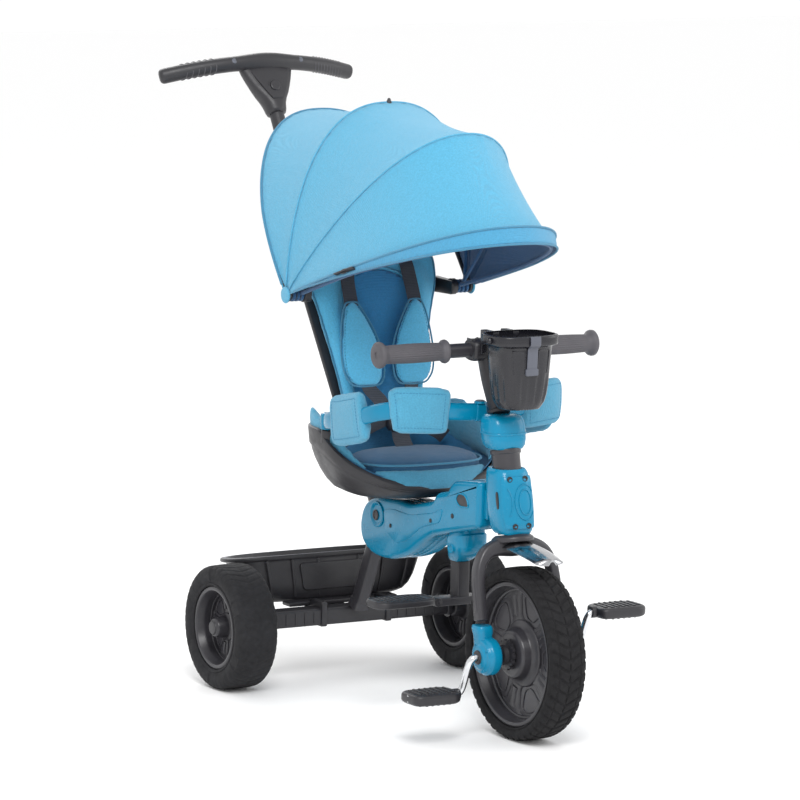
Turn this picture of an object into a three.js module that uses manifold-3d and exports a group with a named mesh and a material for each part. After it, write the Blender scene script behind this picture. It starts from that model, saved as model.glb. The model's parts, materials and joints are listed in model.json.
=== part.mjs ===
// A child's tricycle with a canopy, a padded seat and a parent's push handle.
// Millimetres, +Z up. The front faces -Y, so the rider's right hand is on -X.
// Inside the group the front axle stands at y = 0; the group moves the whole to its own origin, under its middle.
import * as THREE from "three";
import { mergeVertices } from "three/addons/utils/BufferGeometryUtils.js";
import Module from "manifold-3d";

const wasm = await Module();
wasm.setup();

// ---------------------------------------------------------------- driving dimensions
const GAP = 0.3; // between pieces that touch
const FRONT_WHEEL = { radius: 133, width: 62, rim: 112, y: 0 };
const REAR_WHEEL = { radius: 100, width: 71, rim: 67, y: 538, x: 220.5 };
const LENGTH_MIDDLE = 381.6; // from the front axle to the middle of the whole length
const RAKE = THREE.MathUtils.degToRad(11.2); // lean of the steering axis
const STEERING = { y: 44, z: 312 }; // a point of the steering axis
const FORK = { legX: 68, legWidth: 17, depth: 22, crownTop: 309, arch: 272, legEnd: 181 };
const HEAD = { halfX: 30, halfY: 29, bottom: 313, top: 411, tubeRadius: 22 };
const FRAME_WIDTH = 66;
const BAR = { y: 131, z: 586, radius: 11, half: 196, gripStart: 72 };
const BASKET = { y: 33, rimZ: 622, floorZ: 507, halfX: 56, halfY: 44 };
const CRANK = { radius: 5.5, hubX: 97, eyeX: 104, endX: 194, y: 13, drop: 57 };
const PEDAL = { length: 84, width: 62, thickness: 22, x: 157 };
const FOOTREST = { y: 197, z: 184, hingeX: 56, length: 106, width: 56, thickness: 12 };
const AXLE_BEAM = { halfX: 181, front: 520, back: 556, bottom: 91.5, top: 119 };
const SEAT = { y: 376, halfX: 136, halfY: 114, floorZ: 328 };
const BACKREST = { foot: [424, 430], top: [484, 728] }; // middle of its front face, y and z
const CANOPY = { y: 464, z: 640, halfX: 169 };
const POLE = { foot: [433, 262], top: [812, 896] }; // y and z on the push handle's axis
const BOWS = {
  rear: { angle: 36.4, height: 338, width: 180, square: 2.3 },
  middle: { angle: -4.1, height: 301, width: 172, square: 2.4 },
  front: { angle: -44, height: 377, width: 178, square: 2.16 },
  brim: { angle: -74, height: 437, width: 193, square: 2.3 },
};
const SAFETY_BAR = { pivotX: 144, pivotY: 368, front: 128, frontZ: 488, pivotZ: 450 };

// ---------------------------------------------------------------- materials
function material(color, roughness, metalness = 0) {
  return new THREE.MeshStandardMaterial({ color, roughness, metalness });
}
const BLUE_PLASTIC = material(0x1387b5, 0.25);
const DARK_PLASTIC = material(0x3a393b, 0.55);
const GREY_PLASTIC = material(0x5d6064, 0.6);
const TYRE_FOAM = material(0x333437, 0.85);
const STEEL = material(0xb9bbbd, 0.25, 1);
const SKY_FABRIC = material(0x66b3d8, 0.95);
const WEBBING = material(0x343841, 0.9);

// ---------------------------------------------------------------- making solids
const tricycle = new THREE.Group();

function add(name, geometry, finish) {
  const mesh = new THREE.Mesh(geometry, finish);
  mesh.name = name;
  tricycle.add(mesh);
  return mesh;
}

function solid(geometry) {
  const loose = geometry.index ? geometry.toNonIndexed() : geometry.clone();
  loose.deleteAttribute("normal");
  loose.deleteAttribute("uv");
  const merged = mergeVertices(loose, 1e-4);
  return new wasm.Manifold(
    new wasm.Mesh({
      numProp: 3,
      vertProperties: merged.attributes.position.array,
      triVerts: new Uint32Array(merged.index.array),
    }),
  );
}

function geometryOf(manifold) {
  const mesh = manifold.getMesh();
  const geometry = new THREE.BufferGeometry();
  geometry.setAttribute("position", new THREE.BufferAttribute(Float32Array.from(mesh.vertProperties), 3));
  geometry.setIndex(new THREE.BufferAttribute(Uint32Array.from(mesh.triVerts), 1));
  return geometry;
}

function join(...geometries) {
  return geometryOf(geometries.map(solid).reduce((a, b) => a.add(b)));
}

function cut(geometry, ...tools) {
  return geometryOf(tools.map(solid).reduce((a, b) => a.subtract(b), solid(geometry)));
}

// A rod, straight or tapered, between two points.
function rod(from, to, radius, sides = 16, endRadius = radius) {
  const a = new THREE.Vector3(...from);
  const b = new THREE.Vector3(...to);
  const geometry = new THREE.CylinderGeometry(endRadius, radius, a.distanceTo(b), sides);
  const turn = new THREE.Quaternion().setFromUnitVectors(
    new THREE.Vector3(0, 1, 0),
    b.clone().sub(a).normalize(),
  );
  geometry.applyQuaternion(turn);
  const middle = a.add(b).multiplyScalar(0.5);
  return geometry.translate(middle.x, middle.y, middle.z);
}

function box(low, high) {
  const size = high.map((value, i) => value - low[i]);
  const middle = high.map((value, i) => (value + low[i]) / 2);
  return new THREE.BoxGeometry(...size).translate(...middle);
}

// A round section swept along a smooth curve through points.
function bentRod(points, radius, steps, sides = 10, tension = 0.5) {
  const path = new THREE.CatmullRomCurve3(
    points.map((p) => new THREE.Vector3(...p)),
    false,
    "catmullrom",
    tension,
  );
  const section = new THREE.Shape().absarc(0, 0, radius, 0, 2 * Math.PI);
  return new THREE.ExtrudeGeometry(section, { steps, extrudePath: path, curveSegments: sides / 2 });
}

// A ring of points on a superellipse: square = 2 is an ellipse, more is boxier.
function ring(halfX, halfY, y, height, square = 2.6, count = 28) {
  const points = [];
  for (let i = 0; i < count; i++) {
    const angle = (2 * Math.PI * i) / count;
    const c = Math.cos(angle);
    const s = Math.sin(angle);
    const x = halfX * Math.sign(c) * Math.abs(c) ** (2 / square);
    const along = halfY * Math.sign(s) * Math.abs(s) ** (2 / square);
    const z = typeof height === "function" ? height(x, y + along) : height;
    points.push(new THREE.Vector3(x, y + along, z));
  }
  return points;
}

// A closed skin over rings of equal count, with a fan of triangles closing each end.
function loft(rings) {
  const count = rings[0].length;
  const middles = [rings[0], rings.at(-1)].map((points) =>
    points.reduce((sum, p) => sum.add(p), new THREE.Vector3()).divideScalar(count),
  );
  const vertices = [...rings.flat(), ...middles];
  const faces = [];
  rings.slice(1).forEach((_, k) => {
    for (let i = 0; i < count; i++) {
      const a = k * count + i;
      const b = k * count + ((i + 1) % count);
      faces.push(a, b, a + count, b, b + count, a + count);
    }
  });
  const last = (rings.length - 1) * count;
  for (let i = 0; i < count; i++) {
    const next = (i + 1) % count;
    faces.push(rings.length * count, next, i);
    faces.push(rings.length * count + 1, last + i, last + next);
  }
  const geometry = new THREE.BufferGeometry().setFromPoints(vertices);
  geometry.setIndex(faces);
  return facingOut(geometry);
}

// A closed skin over rings whose last joins its first again, as round a sleeve.
function loop(rings) {
  const count = rings[0].length;
  const faces = [];
  rings.forEach((_, k) => {
    const base = k * count;
    const after = ((k + 1) % rings.length) * count;
    for (let i = 0; i < count; i++) {
      const next = (i + 1) % count;
      faces.push(base + i, base + next, after + i, base + next, after + next, after + i);
    }
  });
  const geometry = new THREE.BufferGeometry().setFromPoints(rings.flat());
  geometry.setIndex(faces);
  return facingOut(geometry);
}

// Turns the faces round where they point inwards.
function facingOut(geometry) {
  if (solid(geometry).volume() < 0) {
    const index = geometry.index.array;
    for (let i = 0; i < index.length; i += 3) {
      [index[i + 1], index[i + 2]] = [index[i + 2], index[i + 1]];
    }
  }
  return geometry;
}

// A plate of even thickness over a grid of points, thickened along the way each point's normal faces.
function plate(rows, thickness) {
  const columns = rows[0].length;
  const at = (r, c) =>
    rows[THREE.MathUtils.clamp(r, 0, rows.length - 1)][THREE.MathUtils.clamp(c, 0, columns - 1)];
  const back = rows.map((row, r) =>
    row.map((point, c) => {
      const across = at(r, c + 1).clone().sub(at(r, c - 1));
      const along = at(r + 1, c).clone().sub(at(r - 1, c));
      return point.clone().addScaledVector(across.cross(along).normalize(), thickness);
    }),
  );
  const rings = rows.map((row, r) => [...row, ...back[r].slice().reverse()]);
  const count = 2 * columns;
  const faces = [];
  rings.slice(1).forEach((_, k) => {
    for (let i = 0; i < count; i++) {
      const a = k * count + i;
      const b = k * count + ((i + 1) % count);
      faces.push(a, b, a + count, b, b + count, a + count);
    }
  });
  const last = (rings.length - 1) * count;
  for (let i = 0; i < columns - 1; i++) {
    const opposite = count - 1 - i;
    faces.push(i, opposite, i + 1, i + 1, opposite, opposite - 1);
    faces.push(last + i, last + i + 1, last + opposite, last + i + 1, last + opposite - 1, last + opposite);
  }
  const geometry = new THREE.BufferGeometry().setFromPoints(rings.flat());
  geometry.setIndex(faces);
  return facingOut(geometry);
}

// An outline of y along and z up, extruded across X about the middle.
function sideways(outline, width, options = { bevelEnabled: false }) {
  const bevel = options.bevelEnabled ? options.bevelThickness : 0;
  const geometry = new THREE.ExtrudeGeometry(outline, { ...options, depth: width - 2 * bevel });
  const turn = new THREE.Matrix4().set(0, 0, 1, bevel - width / 2, 1, 0, 0, 0, 0, 1, 0, 0, 0, 0, 0, 1);
  return geometry.applyMatrix4(turn);
}

// A turned solid about an axis along X, from a profile of [radius, x] pairs.
function turned(profile, segments = 40) {
  const points = profile.map(([radius, x]) => new THREE.Vector2(radius, x));
  return facingOut(new THREE.LatheGeometry(points, segments).rotateZ(-Math.PI / 2));
}

// The side names, with the sign of x on which each stands.
const SIDES = { right: -1, left: 1 };

// Both sides' copies of a geometry that is drawn for the left.
function sided(geometry, side) {
  return side > 0 ? geometry : facingOut(mirrorX(geometry));
}

function mirrorX(geometry) {
  const copy = geometryOf(solid(geometry));
  copy.applyMatrix4(new THREE.Matrix4().makeScale(-1, 1, 1));
  return copy;
}

// Where the steering axis passes at a height, and a geometry leant with it.
const steeringY = (z) => STEERING.y + (z - STEERING.z) * Math.tan(RAKE);

// ---------------------------------------------------------------- wheels
function tyre({ radius, width, rim }, x, y) {
  const half = width / 2;
  const shoulder = width * 0.11;
  const profile = [
    [rim + GAP, -half * 0.92],
    [radius * 0.87, -half],
    [radius - shoulder * 0.7, -half + shoulder * 0.3],
    [radius, -half + shoulder * 2],
    [radius, half - shoulder * 2],
    [radius - shoulder * 0.7, half - shoulder * 0.3],
    [radius * 0.87, half],
    [rim + GAP, half * 0.92],
    [rim + GAP, -half * 0.92],
  ];
  return turned(profile, 36).translate(x, y, radius);
}

// A rim ring, broad spokes with closed windows between them, and a hub with its bore.
function spokedRim({ radius, rim, y }, x, { hubRadius, hubHalf, half, webHalf, windows, bore, inner, outer }) {
  const band = turned(
    [
      [rim, -half],
      [rim, half],
      [rim - 6, half],
      [rim - 9, half - 12],
      [rim - 9, 12 - half],
      [rim - 6, -half],
      [rim, -half],
    ],
    36,
  );
  const hub = turned(
    [
      [bore, -hubHalf],
      [hubRadius, -hubHalf],
      [hubRadius + 3, -hubHalf + 6],
      [hubRadius + 3, hubHalf - 6],
      [hubRadius, hubHalf],
      [bore, hubHalf],
      [bore, -hubHalf],
    ],
    16,
  );
  const web = new THREE.Shape().absarc(0, 0, rim - 5, 0, 2 * Math.PI);
  web.holes.push(new THREE.Path().absarc(0, 0, hubRadius, 0, 2 * Math.PI, true));
  const pitch = (2 * Math.PI) / windows;
  for (let i = 0; i < windows; i++) {
    const start = i * pitch + 0.24;
    const end = (i + 1) * pitch - 0.24;
    const hole = new THREE.Path();
    hole.absarc(0, 0, outer, start, end, false);
    hole.absarc(0, 0, inner, end + 0.06, start - 0.06, true);
    hole.closePath();
    web.holes.push(hole);
  }
  const disc = new THREE.ExtrudeGeometry(web, { depth: 2 * webHalf, bevelEnabled: false, curveSegments: 4 });
  disc.translate(0, 0, -webHalf).rotateY(Math.PI / 2);
  // A thin plate closes the windows.
  const plate = turned(
    [
      [hubRadius - 2, -2],
      [rim - 5, -2],
      [rim - 5, 2],
      [hubRadius - 2, 2],
      [hubRadius - 2, -2],
    ],
    36,
  );
  return join(band, hub, disc, plate).translate(x, y, radius);
}

add("front_tyre", tyre(FRONT_WHEEL, 0, 0), TYRE_FOAM);
add(
  "front_rim",
  spokedRim(FRONT_WHEEL, 0, {
    hubRadius: 36,
    hubHalf: 30,
    half: 25,
    webHalf: 5,
    windows: 5,
    bore: 24.7,
    inner: 56,
    outer: 95,
  }),
  DARK_PLASTIC,
);
// The drive hub fills the rim's bore and carries the crank.
add(
  "drive_hub",
  turned(
    [
      [CRANK.radius + GAP, -46],
      [20, -46],
      [24 - GAP, -42],
      [24 - GAP, 42],
      [20, 46],
      [CRANK.radius + GAP, 46],
      [CRANK.radius + GAP, -46],
    ],
    24,
  ).translate(0, 0, FRONT_WHEEL.radius),
  GREY_PLASTIC,
);
for (const [name, side] of Object.entries(SIDES)) {
  const x = side * REAR_WHEEL.x;
  add("rear_tyre_" + name, tyre(REAR_WHEEL, x, REAR_WHEEL.y), TYRE_FOAM);
  const rimShape = { hubRadius: 14, hubHalf: 33, half: 31, webHalf: 6, windows: 5, bore: 5.2, inner: 24, outer: 55 };
  add("rear_rim_" + name, spokedRim(REAR_WHEEL, x, rimShape), DARK_PLASTIC);
}

// ---------------------------------------------------------------- crank and pedals
const crankArm = [
  [CRANK.endX, -CRANK.y, FRONT_WHEEL.radius + CRANK.drop],
  [CRANK.eyeX + 20, -CRANK.y, FRONT_WHEEL.radius + CRANK.drop],
  [CRANK.eyeX + 9, -CRANK.y, FRONT_WHEEL.radius + CRANK.drop],
  [CRANK.eyeX, -CRANK.y * 0.9, FRONT_WHEEL.radius + CRANK.drop - 9],
  [CRANK.hubX + 1, -CRANK.y * 0.25, FRONT_WHEEL.radius + 12],
  [CRANK.hubX - 3, -CRANK.y * 0.05, FRONT_WHEEL.radius + 3],
  [CRANK.hubX - 10, 0, FRONT_WHEEL.radius],
];
const otherArm = crankArm.map(([x, y, z]) => [-x, -y, 2 * FRONT_WHEEL.radius - z]).reverse();
const crankAxle = [
  [60, 0, FRONT_WHEEL.radius],
  [0, 0, FRONT_WHEEL.radius],
  [-60, 0, FRONT_WHEEL.radius],
];
add("crank", bentRod([...crankArm, ...crankAxle, ...otherArm], CRANK.radius, 36, 8), STEEL);

function pedal(side) {
  const z = FRONT_WHEEL.radius - side * -1 * CRANK.drop;
  const y = -side * CRANK.y;
  const slices = [-1, -0.86, -0.5, 0.5, 0.86, 1].map((t) => {
    const reach = Math.abs(t) > 0.9 ? 0.72 : Math.abs(t) > 0.6 ? 0.93 : 1;
    return ring(PEDAL.width / 2, PEDAL.thickness / 2, 0, t, 4, 16).map((p) => {
      const along = (t * PEDAL.length) / 2;
      return new THREE.Vector3(side * PEDAL.x + along, y + p.x * reach, z + p.y * reach);
    });
  });
  const bore = rod([side * (PEDAL.x - 60), y, z], [side * (PEDAL.x + 60), y, z], CRANK.radius + 0.5, 12);
  return cut(loft(slices), bore);
}
for (const [name, side] of Object.entries(SIDES)) {
  add("pedal_" + name, pedal(side), DARK_PLASTIC);
}

// ---------------------------------------------------------------- fork, stem and steering
// The fork is drawn flat, x across and z up, then leant back with the steering axis.
function leant(geometry) {
  return geometry
    .translate(0, -STEERING.y, -STEERING.z)
    .rotateX(-RAKE)
    .translate(0, STEERING.y, STEERING.z);
}

function fork() {
  const outer = FORK.legX + FORK.legWidth / 2;
  const inner = FORK.legX - FORK.legWidth / 2;
  const outline = new THREE.Shape();
  outline.moveTo(outer, FORK.legEnd);
  outline.lineTo(outer, 248);
  outline.bezierCurveTo(outer, 282, 52, 300, 30, FORK.crownTop);
  outline.lineTo(-30, FORK.crownTop);
  outline.bezierCurveTo(-52, 300, -outer, 282, -outer, 248);
  outline.lineTo(-outer, FORK.legEnd);
  outline.lineTo(-inner, FORK.legEnd);
  outline.lineTo(-inner, 240);
  outline.bezierCurveTo(-inner, 262, -46, FORK.arch + 3, -30, FORK.arch + 3);
  outline.lineTo(30, FORK.arch + 3);
  outline.bezierCurveTo(46, FORK.arch + 3, inner, 262, inner, 240);
  outline.lineTo(inner, FORK.legEnd);
  outline.closePath();
  const flat = new THREE.ExtrudeGeometry(outline, {
    depth: FORK.depth - 6,
    bevelEnabled: true,
    bevelThickness: 3,
    bevelSize: 2.5,
    bevelOffset: -2.5,
    bevelSegments: 2,
    curveSegments: 8,
  });
  flat.translate(0, 0, -(FORK.depth - 6) / 2).rotateX(Math.PI / 2);
  flat.translate(0, STEERING.y, 0);
  return leant(flat);
}
add("fork", fork(), DARK_PLASTIC);

const stemFoot = FORK.crownTop + 1;
const BOOT = { bottom: 440, top: 492 };
add(
  "steering_stem",
  rod(
    [0, steeringY(stemFoot), stemFoot],
    [0, steeringY(BOOT.bottom - 6), BOOT.bottom - 6],
    HEAD.tubeRadius,
    24,
  ),
  DARK_PLASTIC,
);
add(
  "steering_boot",
  loft(
    [
      [0, 0.88],
      [0.1, 0.98],
      [0.5, 1.04],
      [0.84, 1],
      [0.96, 0.9],
      [1, 0.78],
    ].map(([t, size]) => {
      const z = THREE.MathUtils.lerp(BOOT.bottom, BOOT.top, t);
      return ring(32 * size, 27 * size, steeringY(z) + 2, z, 3);
    }),
  ),
  BLUE_PLASTIC,
);
const upperFoot = [0, steeringY(BOOT.top) + 5, BOOT.top + GAP];
const clamp = loft(
  [-30, -26, 26, 30].map((x) => {
    const size = Math.abs(x) > 28 ? 0.82 : 1;
    return ring(19 * size, 17 * size, 0, 0, 3, 20).map(
      (p) => new THREE.Vector3(x, BAR.y - 1 + p.x, BAR.z + p.y),
    );
  }),
);
// The foot's end is cut level with the boot's top.
const upperStem = cut(
  rod([0, upperFoot[1] - 6, upperFoot[2] - 11], [0, BAR.y - 4, BAR.z - 10], 14, 18),
  box([-40, 0, BOOT.top - 60], [40, 200, BOOT.top + GAP]),
);
const barBore = rod([-50, BAR.y, BAR.z], [50, BAR.y, BAR.z], BAR.radius + GAP, 20);
add("handlebar_stem", cut(join(clamp, upperStem), barBore), DARK_PLASTIC);
add("handlebar", rod([6 - BAR.half, BAR.y, BAR.z], [BAR.half - 6, BAR.y, BAR.z], BAR.radius, 20), DARK_PLASTIC);

function grip(side) {
  const start = BAR.gripStart;
  const end = BAR.half;
  const profile = [
    [BAR.radius + GAP, start],
    [17, start],
    [18.5, start + 3],
    [17, start + 7],
    [14, start + 10],
    [14, end - 12],
    [20, end - 9],
    [20.5, end - 5],
    [18.5, end - 1],
    [0, end],
    [0, end - 5.6],
    [BAR.radius + GAP, end - 5.6],
    [BAR.radius + GAP, start],
  ];
  return sided(turned(profile, 16), side).translate(0, BAR.y, BAR.z);
}
for (const [name, side] of Object.entries(SIDES)) {
  add("grip_" + name, grip(side), GREY_PLASTIC);
}

// Blue caps on the fork ends, with a collar round each leg and a hole for the crank.
function dropoutCap(side) {
  const inner = side * (FORK.legX - 13);
  const profile = [
    [0, 0],
    [27, 0],
    [29, 4],
    [29, 17],
    [25, 24],
    [14, 28],
    [0, 29],
  ];
  const dome = turned(profile, 20);
  const round = sided(dome, side).translate(inner, 0, FRONT_WHEEL.radius);
  const collarTop = FORK.legEnd - 2.5;
  const collar = loft(
    [FRONT_WHEEL.radius + 8, collarTop].map((z) =>
      ring(13, 13.5, steeringY(z) - 2, z, 4, 20).map((p) => p.setX(p.x + side * FORK.legX)),
    ),
  );
  const bore = rod(
    [inner - 50, 0, FRONT_WHEEL.radius],
    [inner + 50, 0, FRONT_WHEEL.radius],
    CRANK.radius + 0.6,
    12,
  );
  return cut(join(round, collar), bore);
}
for (const [name, side] of Object.entries(SIDES)) {
  add("fork_cap_" + name, dropoutCap(side), BLUE_PLASTIC);
}

// The mudguard: a short curved blade that starts in front of the fork's crown.
function mudguard() {
  const rows = [];
  for (let i = 0; i <= 6; i++) {
    const t = i / 6;
    const y = THREE.MathUtils.lerp(24, -74, t);
    const z = 303 - 3 * t - 11 * t * t;
    const half = 30 - 6 * t * t;
    rows.push([-1, -0.6, 0, 0.6, 1].map((s) => new THREE.Vector3(s * half, y, z - 7 * s * s)));
  }
  return plate(rows, 3);
}
add("mudguard", mudguard(), GREY_PLASTIC);

// ---------------------------------------------------------------- front basket
// An open bucket: outer rings from the floor up to the rim, then inner rings back down.
function bucket(levels, wall, y, square, count) {
  const outer = levels.map(([z, x, half, shift = 0]) => ring(x, half, y + shift, z, square, count));
  const inner = levels
    .map(([z, x, half, shift = 0], i) =>
      ring(x - wall, half - wall, y + shift, i === 0 ? z + wall : z, square, count),
    )
    .reverse();
  return loft([...outer, ...inner]);
}
const basketBody = bucket(
  [
    [BASKET.floorZ, 32, 25],
    [BASKET.floorZ + 10, 38, 30],
    [BASKET.floorZ + 34, 43, 34],
    [BASKET.rimZ - 18, 47, 37],
    [BASKET.rimZ - 15, BASKET.halfX, BASKET.halfY],
    [BASKET.rimZ, BASKET.halfX, BASKET.halfY],
  ],
  3,
  BASKET.y,
  3,
  24,
);
// Two hooks reach from the rim back to the handlebar clamp.
const basketHooks = [-1, 1].map((side) =>
  box(
    [side * 18 - 6, BASKET.y + BASKET.halfY - 2, BASKET.rimZ - 24],
    [side * 18 + 6, BAR.y - 21, BASKET.rimZ - 2],
  ),
);
add("basket", join(basketBody, ...basketHooks), DARK_PLASTIC);

// ---------------------------------------------------------------- frame
// The push handle's axis: a point at a distance along it, at x = side.
const poleLength = Math.hypot(POLE.top[0] - POLE.foot[0], POLE.top[1] - POLE.foot[1]);
const poleY = (POLE.top[0] - POLE.foot[0]) / poleLength;
const poleZ = (POLE.top[1] - POLE.foot[1]) / poleLength;
function onPole(distance, side = 0) {
  return [side, POLE.foot[0] + poleY * distance, POLE.foot[1] + poleZ * distance];
}
const PUSH_TUBE_RADIUS = 15;
// The post from the axle beam up into a pocket in the back of the frame.
const POST = { width: 24, depth: 25, foot: [513, AXLE_BEAM.top + GAP], top: [450, 254] };

// The side outline of the frame housing, y along and z up, from the head back to the round bulb.
function frameHousing() {
  const outline = new THREE.Shape();
  outline.moveTo(92, 313);
  outline.lineTo(90, 386);
  outline.lineTo(150, 380);
  outline.quadraticCurveTo(178, 374, 186, 358);
  outline.lineTo(222, 350);
  outline.lineTo(232, 336);
  outline.lineTo(300, 320);
  outline.lineTo(338, 321);
  outline.lineTo(405, 316);
  outline.bezierCurveTo(440, 312, 460, 292, 459, 268);
  outline.bezierCurveTo(458, 236, 432, 222, 392, 221);
  outline.bezierCurveTo(345, 221, 308, 232, 285, 252);
  outline.bezierCurveTo(262, 268, 225, 284, 190, 291);
  outline.closePath();
  const bevel = 7;
  const housing = sideways(outline, FRAME_WIDTH, {
    bevelEnabled: true,
    bevelThickness: bevel,
    bevelSize: bevel,
    bevelOffset: -bevel,
    bevelSegments: 2,
    curveSegments: 5,
  });
  // On each face, an oval recess behind the head and a round one on the bulb.
  const recesses = [-1, 1].flatMap((sign) => {
    const from = sign * (FRAME_WIDTH / 2 - 6);
    const to = sign * (FRAME_WIDTH / 2 + 5);
    const oval = rod([from, 0, 0], [to, 0, 0], 11, 20).scale(1, 1.7, 1).translate(0, 138, 352);
    return [oval, rod([from, 398, 292], [to, 398, 292], 15, 20)];
  });
  const socket = rod(onPole(-GAP), onPole(120), PUSH_TUBE_RADIUS + GAP, 20);
  const postPocket = box(
    [-POST.width / 2 - GAP, POST.top[0] - POST.depth / 2 - GAP, 190],
    [POST.width / 2 + GAP, POST.top[0] + 60, POST.top[1] + GAP],
  );
  return cut(housing, ...recesses, socket, postPocket);
}
add("main_frame", frameHousing(), BLUE_PLASTIC);

function headBlock() {
  const levels = [
    [HEAD.bottom, 0.86],
    [HEAD.bottom + 6, 0.98],
    [HEAD.bottom + 30, 1.04],
    [HEAD.top - 30, 1],
    [HEAD.top - 7, 0.97],
    [HEAD.top, 0.86],
  ];
  const shell = loft(
    levels.map(([z, size]) => ring(HEAD.halfX * size, HEAD.halfY * size, steeringY(z), z, 3.2, 28)),
  );
  const bore = rod([0, steeringY(280), 280], [0, steeringY(450), 450], HEAD.tubeRadius + 0.6, 24);
  return cut(shell, bore);
}
add("head_block", headBlock(), BLUE_PLASTIC);

const FOOT_POST = { y: 197, top: 246, halfX: 11, halfY: 13 };
add(
  "footrest_bracket",
  loft([
    ring(27, 30, 178, (x, y) => 287 - (y - 195) * 0.2, 3, 20),
    ring(27, 30, 178, 268, 3, 20),
    ring(22, 24, 186, 250, 3, 20),
    ring(14, 15, FOOT_POST.y, FOOT_POST.top, 3, 20),
  ]),
  BLUE_PLASTIC,
);
add(
  "footrest_post",
  join(
    box(
      [-FOOT_POST.halfX, FOOT_POST.y - FOOT_POST.halfY, FOOTREST.z],
      [FOOT_POST.halfX, FOOT_POST.y + FOOT_POST.halfY, FOOT_POST.top - GAP],
    ),
    box(
      [GAP + 9 - FOOTREST.hingeX, FOOTREST.y - 15, FOOTREST.z - 7],
      [FOOTREST.hingeX - 9 - GAP, FOOTREST.y + 15, FOOTREST.z + 6],
    ),
    rod(
      [10 - FOOTREST.hingeX, FOOTREST.y - 15, FOOTREST.z],
      [10 - FOOTREST.hingeX, FOOTREST.y + 15, FOOTREST.z],
      7,
      12,
    ),
    rod(
      [FOOTREST.hingeX - 10, FOOTREST.y - 15, FOOTREST.z],
      [FOOTREST.hingeX - 10, FOOTREST.y + 15, FOOTREST.z],
      7,
      12,
    ),
  ),
  DARK_PLASTIC,
);

// A footrest plate folds up about its inner edge.
function footrest(side) {
  const inner = FOOTREST.hingeX - 2;
  const outer = inner + FOOTREST.length;
  const plateSolid = loft(
    [
      [inner, 0.8, 0.7],
      [inner + 8, 0.9, 1],
      [inner + 40, 1, 1],
      [outer - 14, 1, 1],
      [outer, 0.7, 0.6],
    ].map(([x, width, thick]) =>
      ring((FOOTREST.width / 2) * width, (FOOTREST.thickness / 2) * thick, 0, 0, 4, 16).map(
        (p) => new THREE.Vector3(x, FOOTREST.y + p.x, FOOTREST.z + 4 + p.y),
      ),
    ),
  );
  return sided(plateSolid, side);
}
for (const [name, side] of Object.entries(SIDES)) {
  add("footrest_" + name, footrest(side), DARK_PLASTIC);
}

// ---------------------------------------------------------------- rear axle, post and tray
const axleZ = REAR_WHEEL.radius;
const beam = box(
  [-AXLE_BEAM.halfX, AXLE_BEAM.front, AXLE_BEAM.bottom],
  [AXLE_BEAM.halfX, AXLE_BEAM.back, AXLE_BEAM.top],
);
const COLLAR_X = 60;
const collars = [-1, 1].map((side) =>
  box(
    [side * COLLAR_X - 5, AXLE_BEAM.front - 3, AXLE_BEAM.bottom - 2],
    [side * COLLAR_X + 5, AXLE_BEAM.back + 3, 131],
  ),
);
const BRAKE = { halfX: 150, y: 568, z: 106, radius: 6 };
const brakeLugs = [-1, 1].map((side) =>
  box([side * COLLAR_X - 5, AXLE_BEAM.back - 2, BRAKE.z - 10], [side * COLLAR_X + 5, BRAKE.y + 10, BRAKE.z + 10]),
);
const axleBore = rod([-200, REAR_WHEEL.y, axleZ], [200, REAR_WHEEL.y, axleZ], 5, 14);
const brakeBore = rod([-100, BRAKE.y, BRAKE.z], [100, BRAKE.y, BRAKE.z], BRAKE.radius + GAP, 14);
add("axle_beam", cut(join(beam, ...collars, ...brakeLugs), axleBore, brakeBore), DARK_PLASTIC);
const AXLE_HALF = REAR_WHEEL.x + 34;
add(
  "rear_axle",
  rod([-AXLE_HALF, REAR_WHEEL.y, axleZ], [AXLE_HALF, REAR_WHEEL.y, axleZ], 4.5, 14),
  STEEL,
);

const postOutline = new THREE.Shape();
postOutline.moveTo(POST.foot[0] - POST.depth / 2, POST.foot[1]);
postOutline.lineTo(POST.foot[0] + POST.depth / 2, POST.foot[1]);
postOutline.lineTo(POST.top[0] + POST.depth / 2, POST.top[1]);
postOutline.lineTo(POST.top[0] - POST.depth / 2, POST.top[1]);
postOutline.closePath();
add("rear_post", sideways(postOutline, POST.width), DARK_PLASTIC);

const TRAY = { y: 650, rimZ: 198, floorZ: 121, halfX: 168, halfY: 70 };
const traySlope = (x, y) => -(y - 590) * 0.14;
function trayRing(halfX, halfY, y, z) {
  return ring(halfX, halfY, y, 0, 3.4, 28).map((p) => {
    // The plan narrows towards the back.
    const back = THREE.MathUtils.clamp((p.y - 590) / 150, 0, 1);
    return new THREE.Vector3(p.x * (1.16 - 0.5 * back * back), p.y, z + traySlope(p.x, p.y));
  });
}
const trayTub = loft([
  trayRing(106, 44, 632, TRAY.floorZ),
  trayRing(124, 52, 636, TRAY.floorZ + 6),
  trayRing(142, 60, 641, TRAY.floorZ + 29),
  trayRing(156, 66, 648, TRAY.rimZ - 12),
  trayRing(158, 68, TRAY.y, TRAY.rimZ - 8),
  trayRing(TRAY.halfX, TRAY.halfY, TRAY.y, TRAY.rimZ - 7),
  trayRing(TRAY.halfX, TRAY.halfY, TRAY.y, TRAY.rimZ),
  trayRing(154, 64, TRAY.y, TRAY.rimZ),
  trayRing(151, 61.5, 647, TRAY.rimZ - 12),
  trayRing(137, 56, 641, TRAY.floorZ + 31),
  trayRing(119, 48, 636, TRAY.floorZ + 10),
  trayRing(102, 40, 632, TRAY.floorZ + 4),
]);
// A flange along the tray's foot rests on the two lugs behind the beam.
const trayFlange = box([-100, 560.5, 117.5], [100, 588, 124]);
add("rear_tray", join(trayTub, trayFlange), DARK_PLASTIC);

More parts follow.
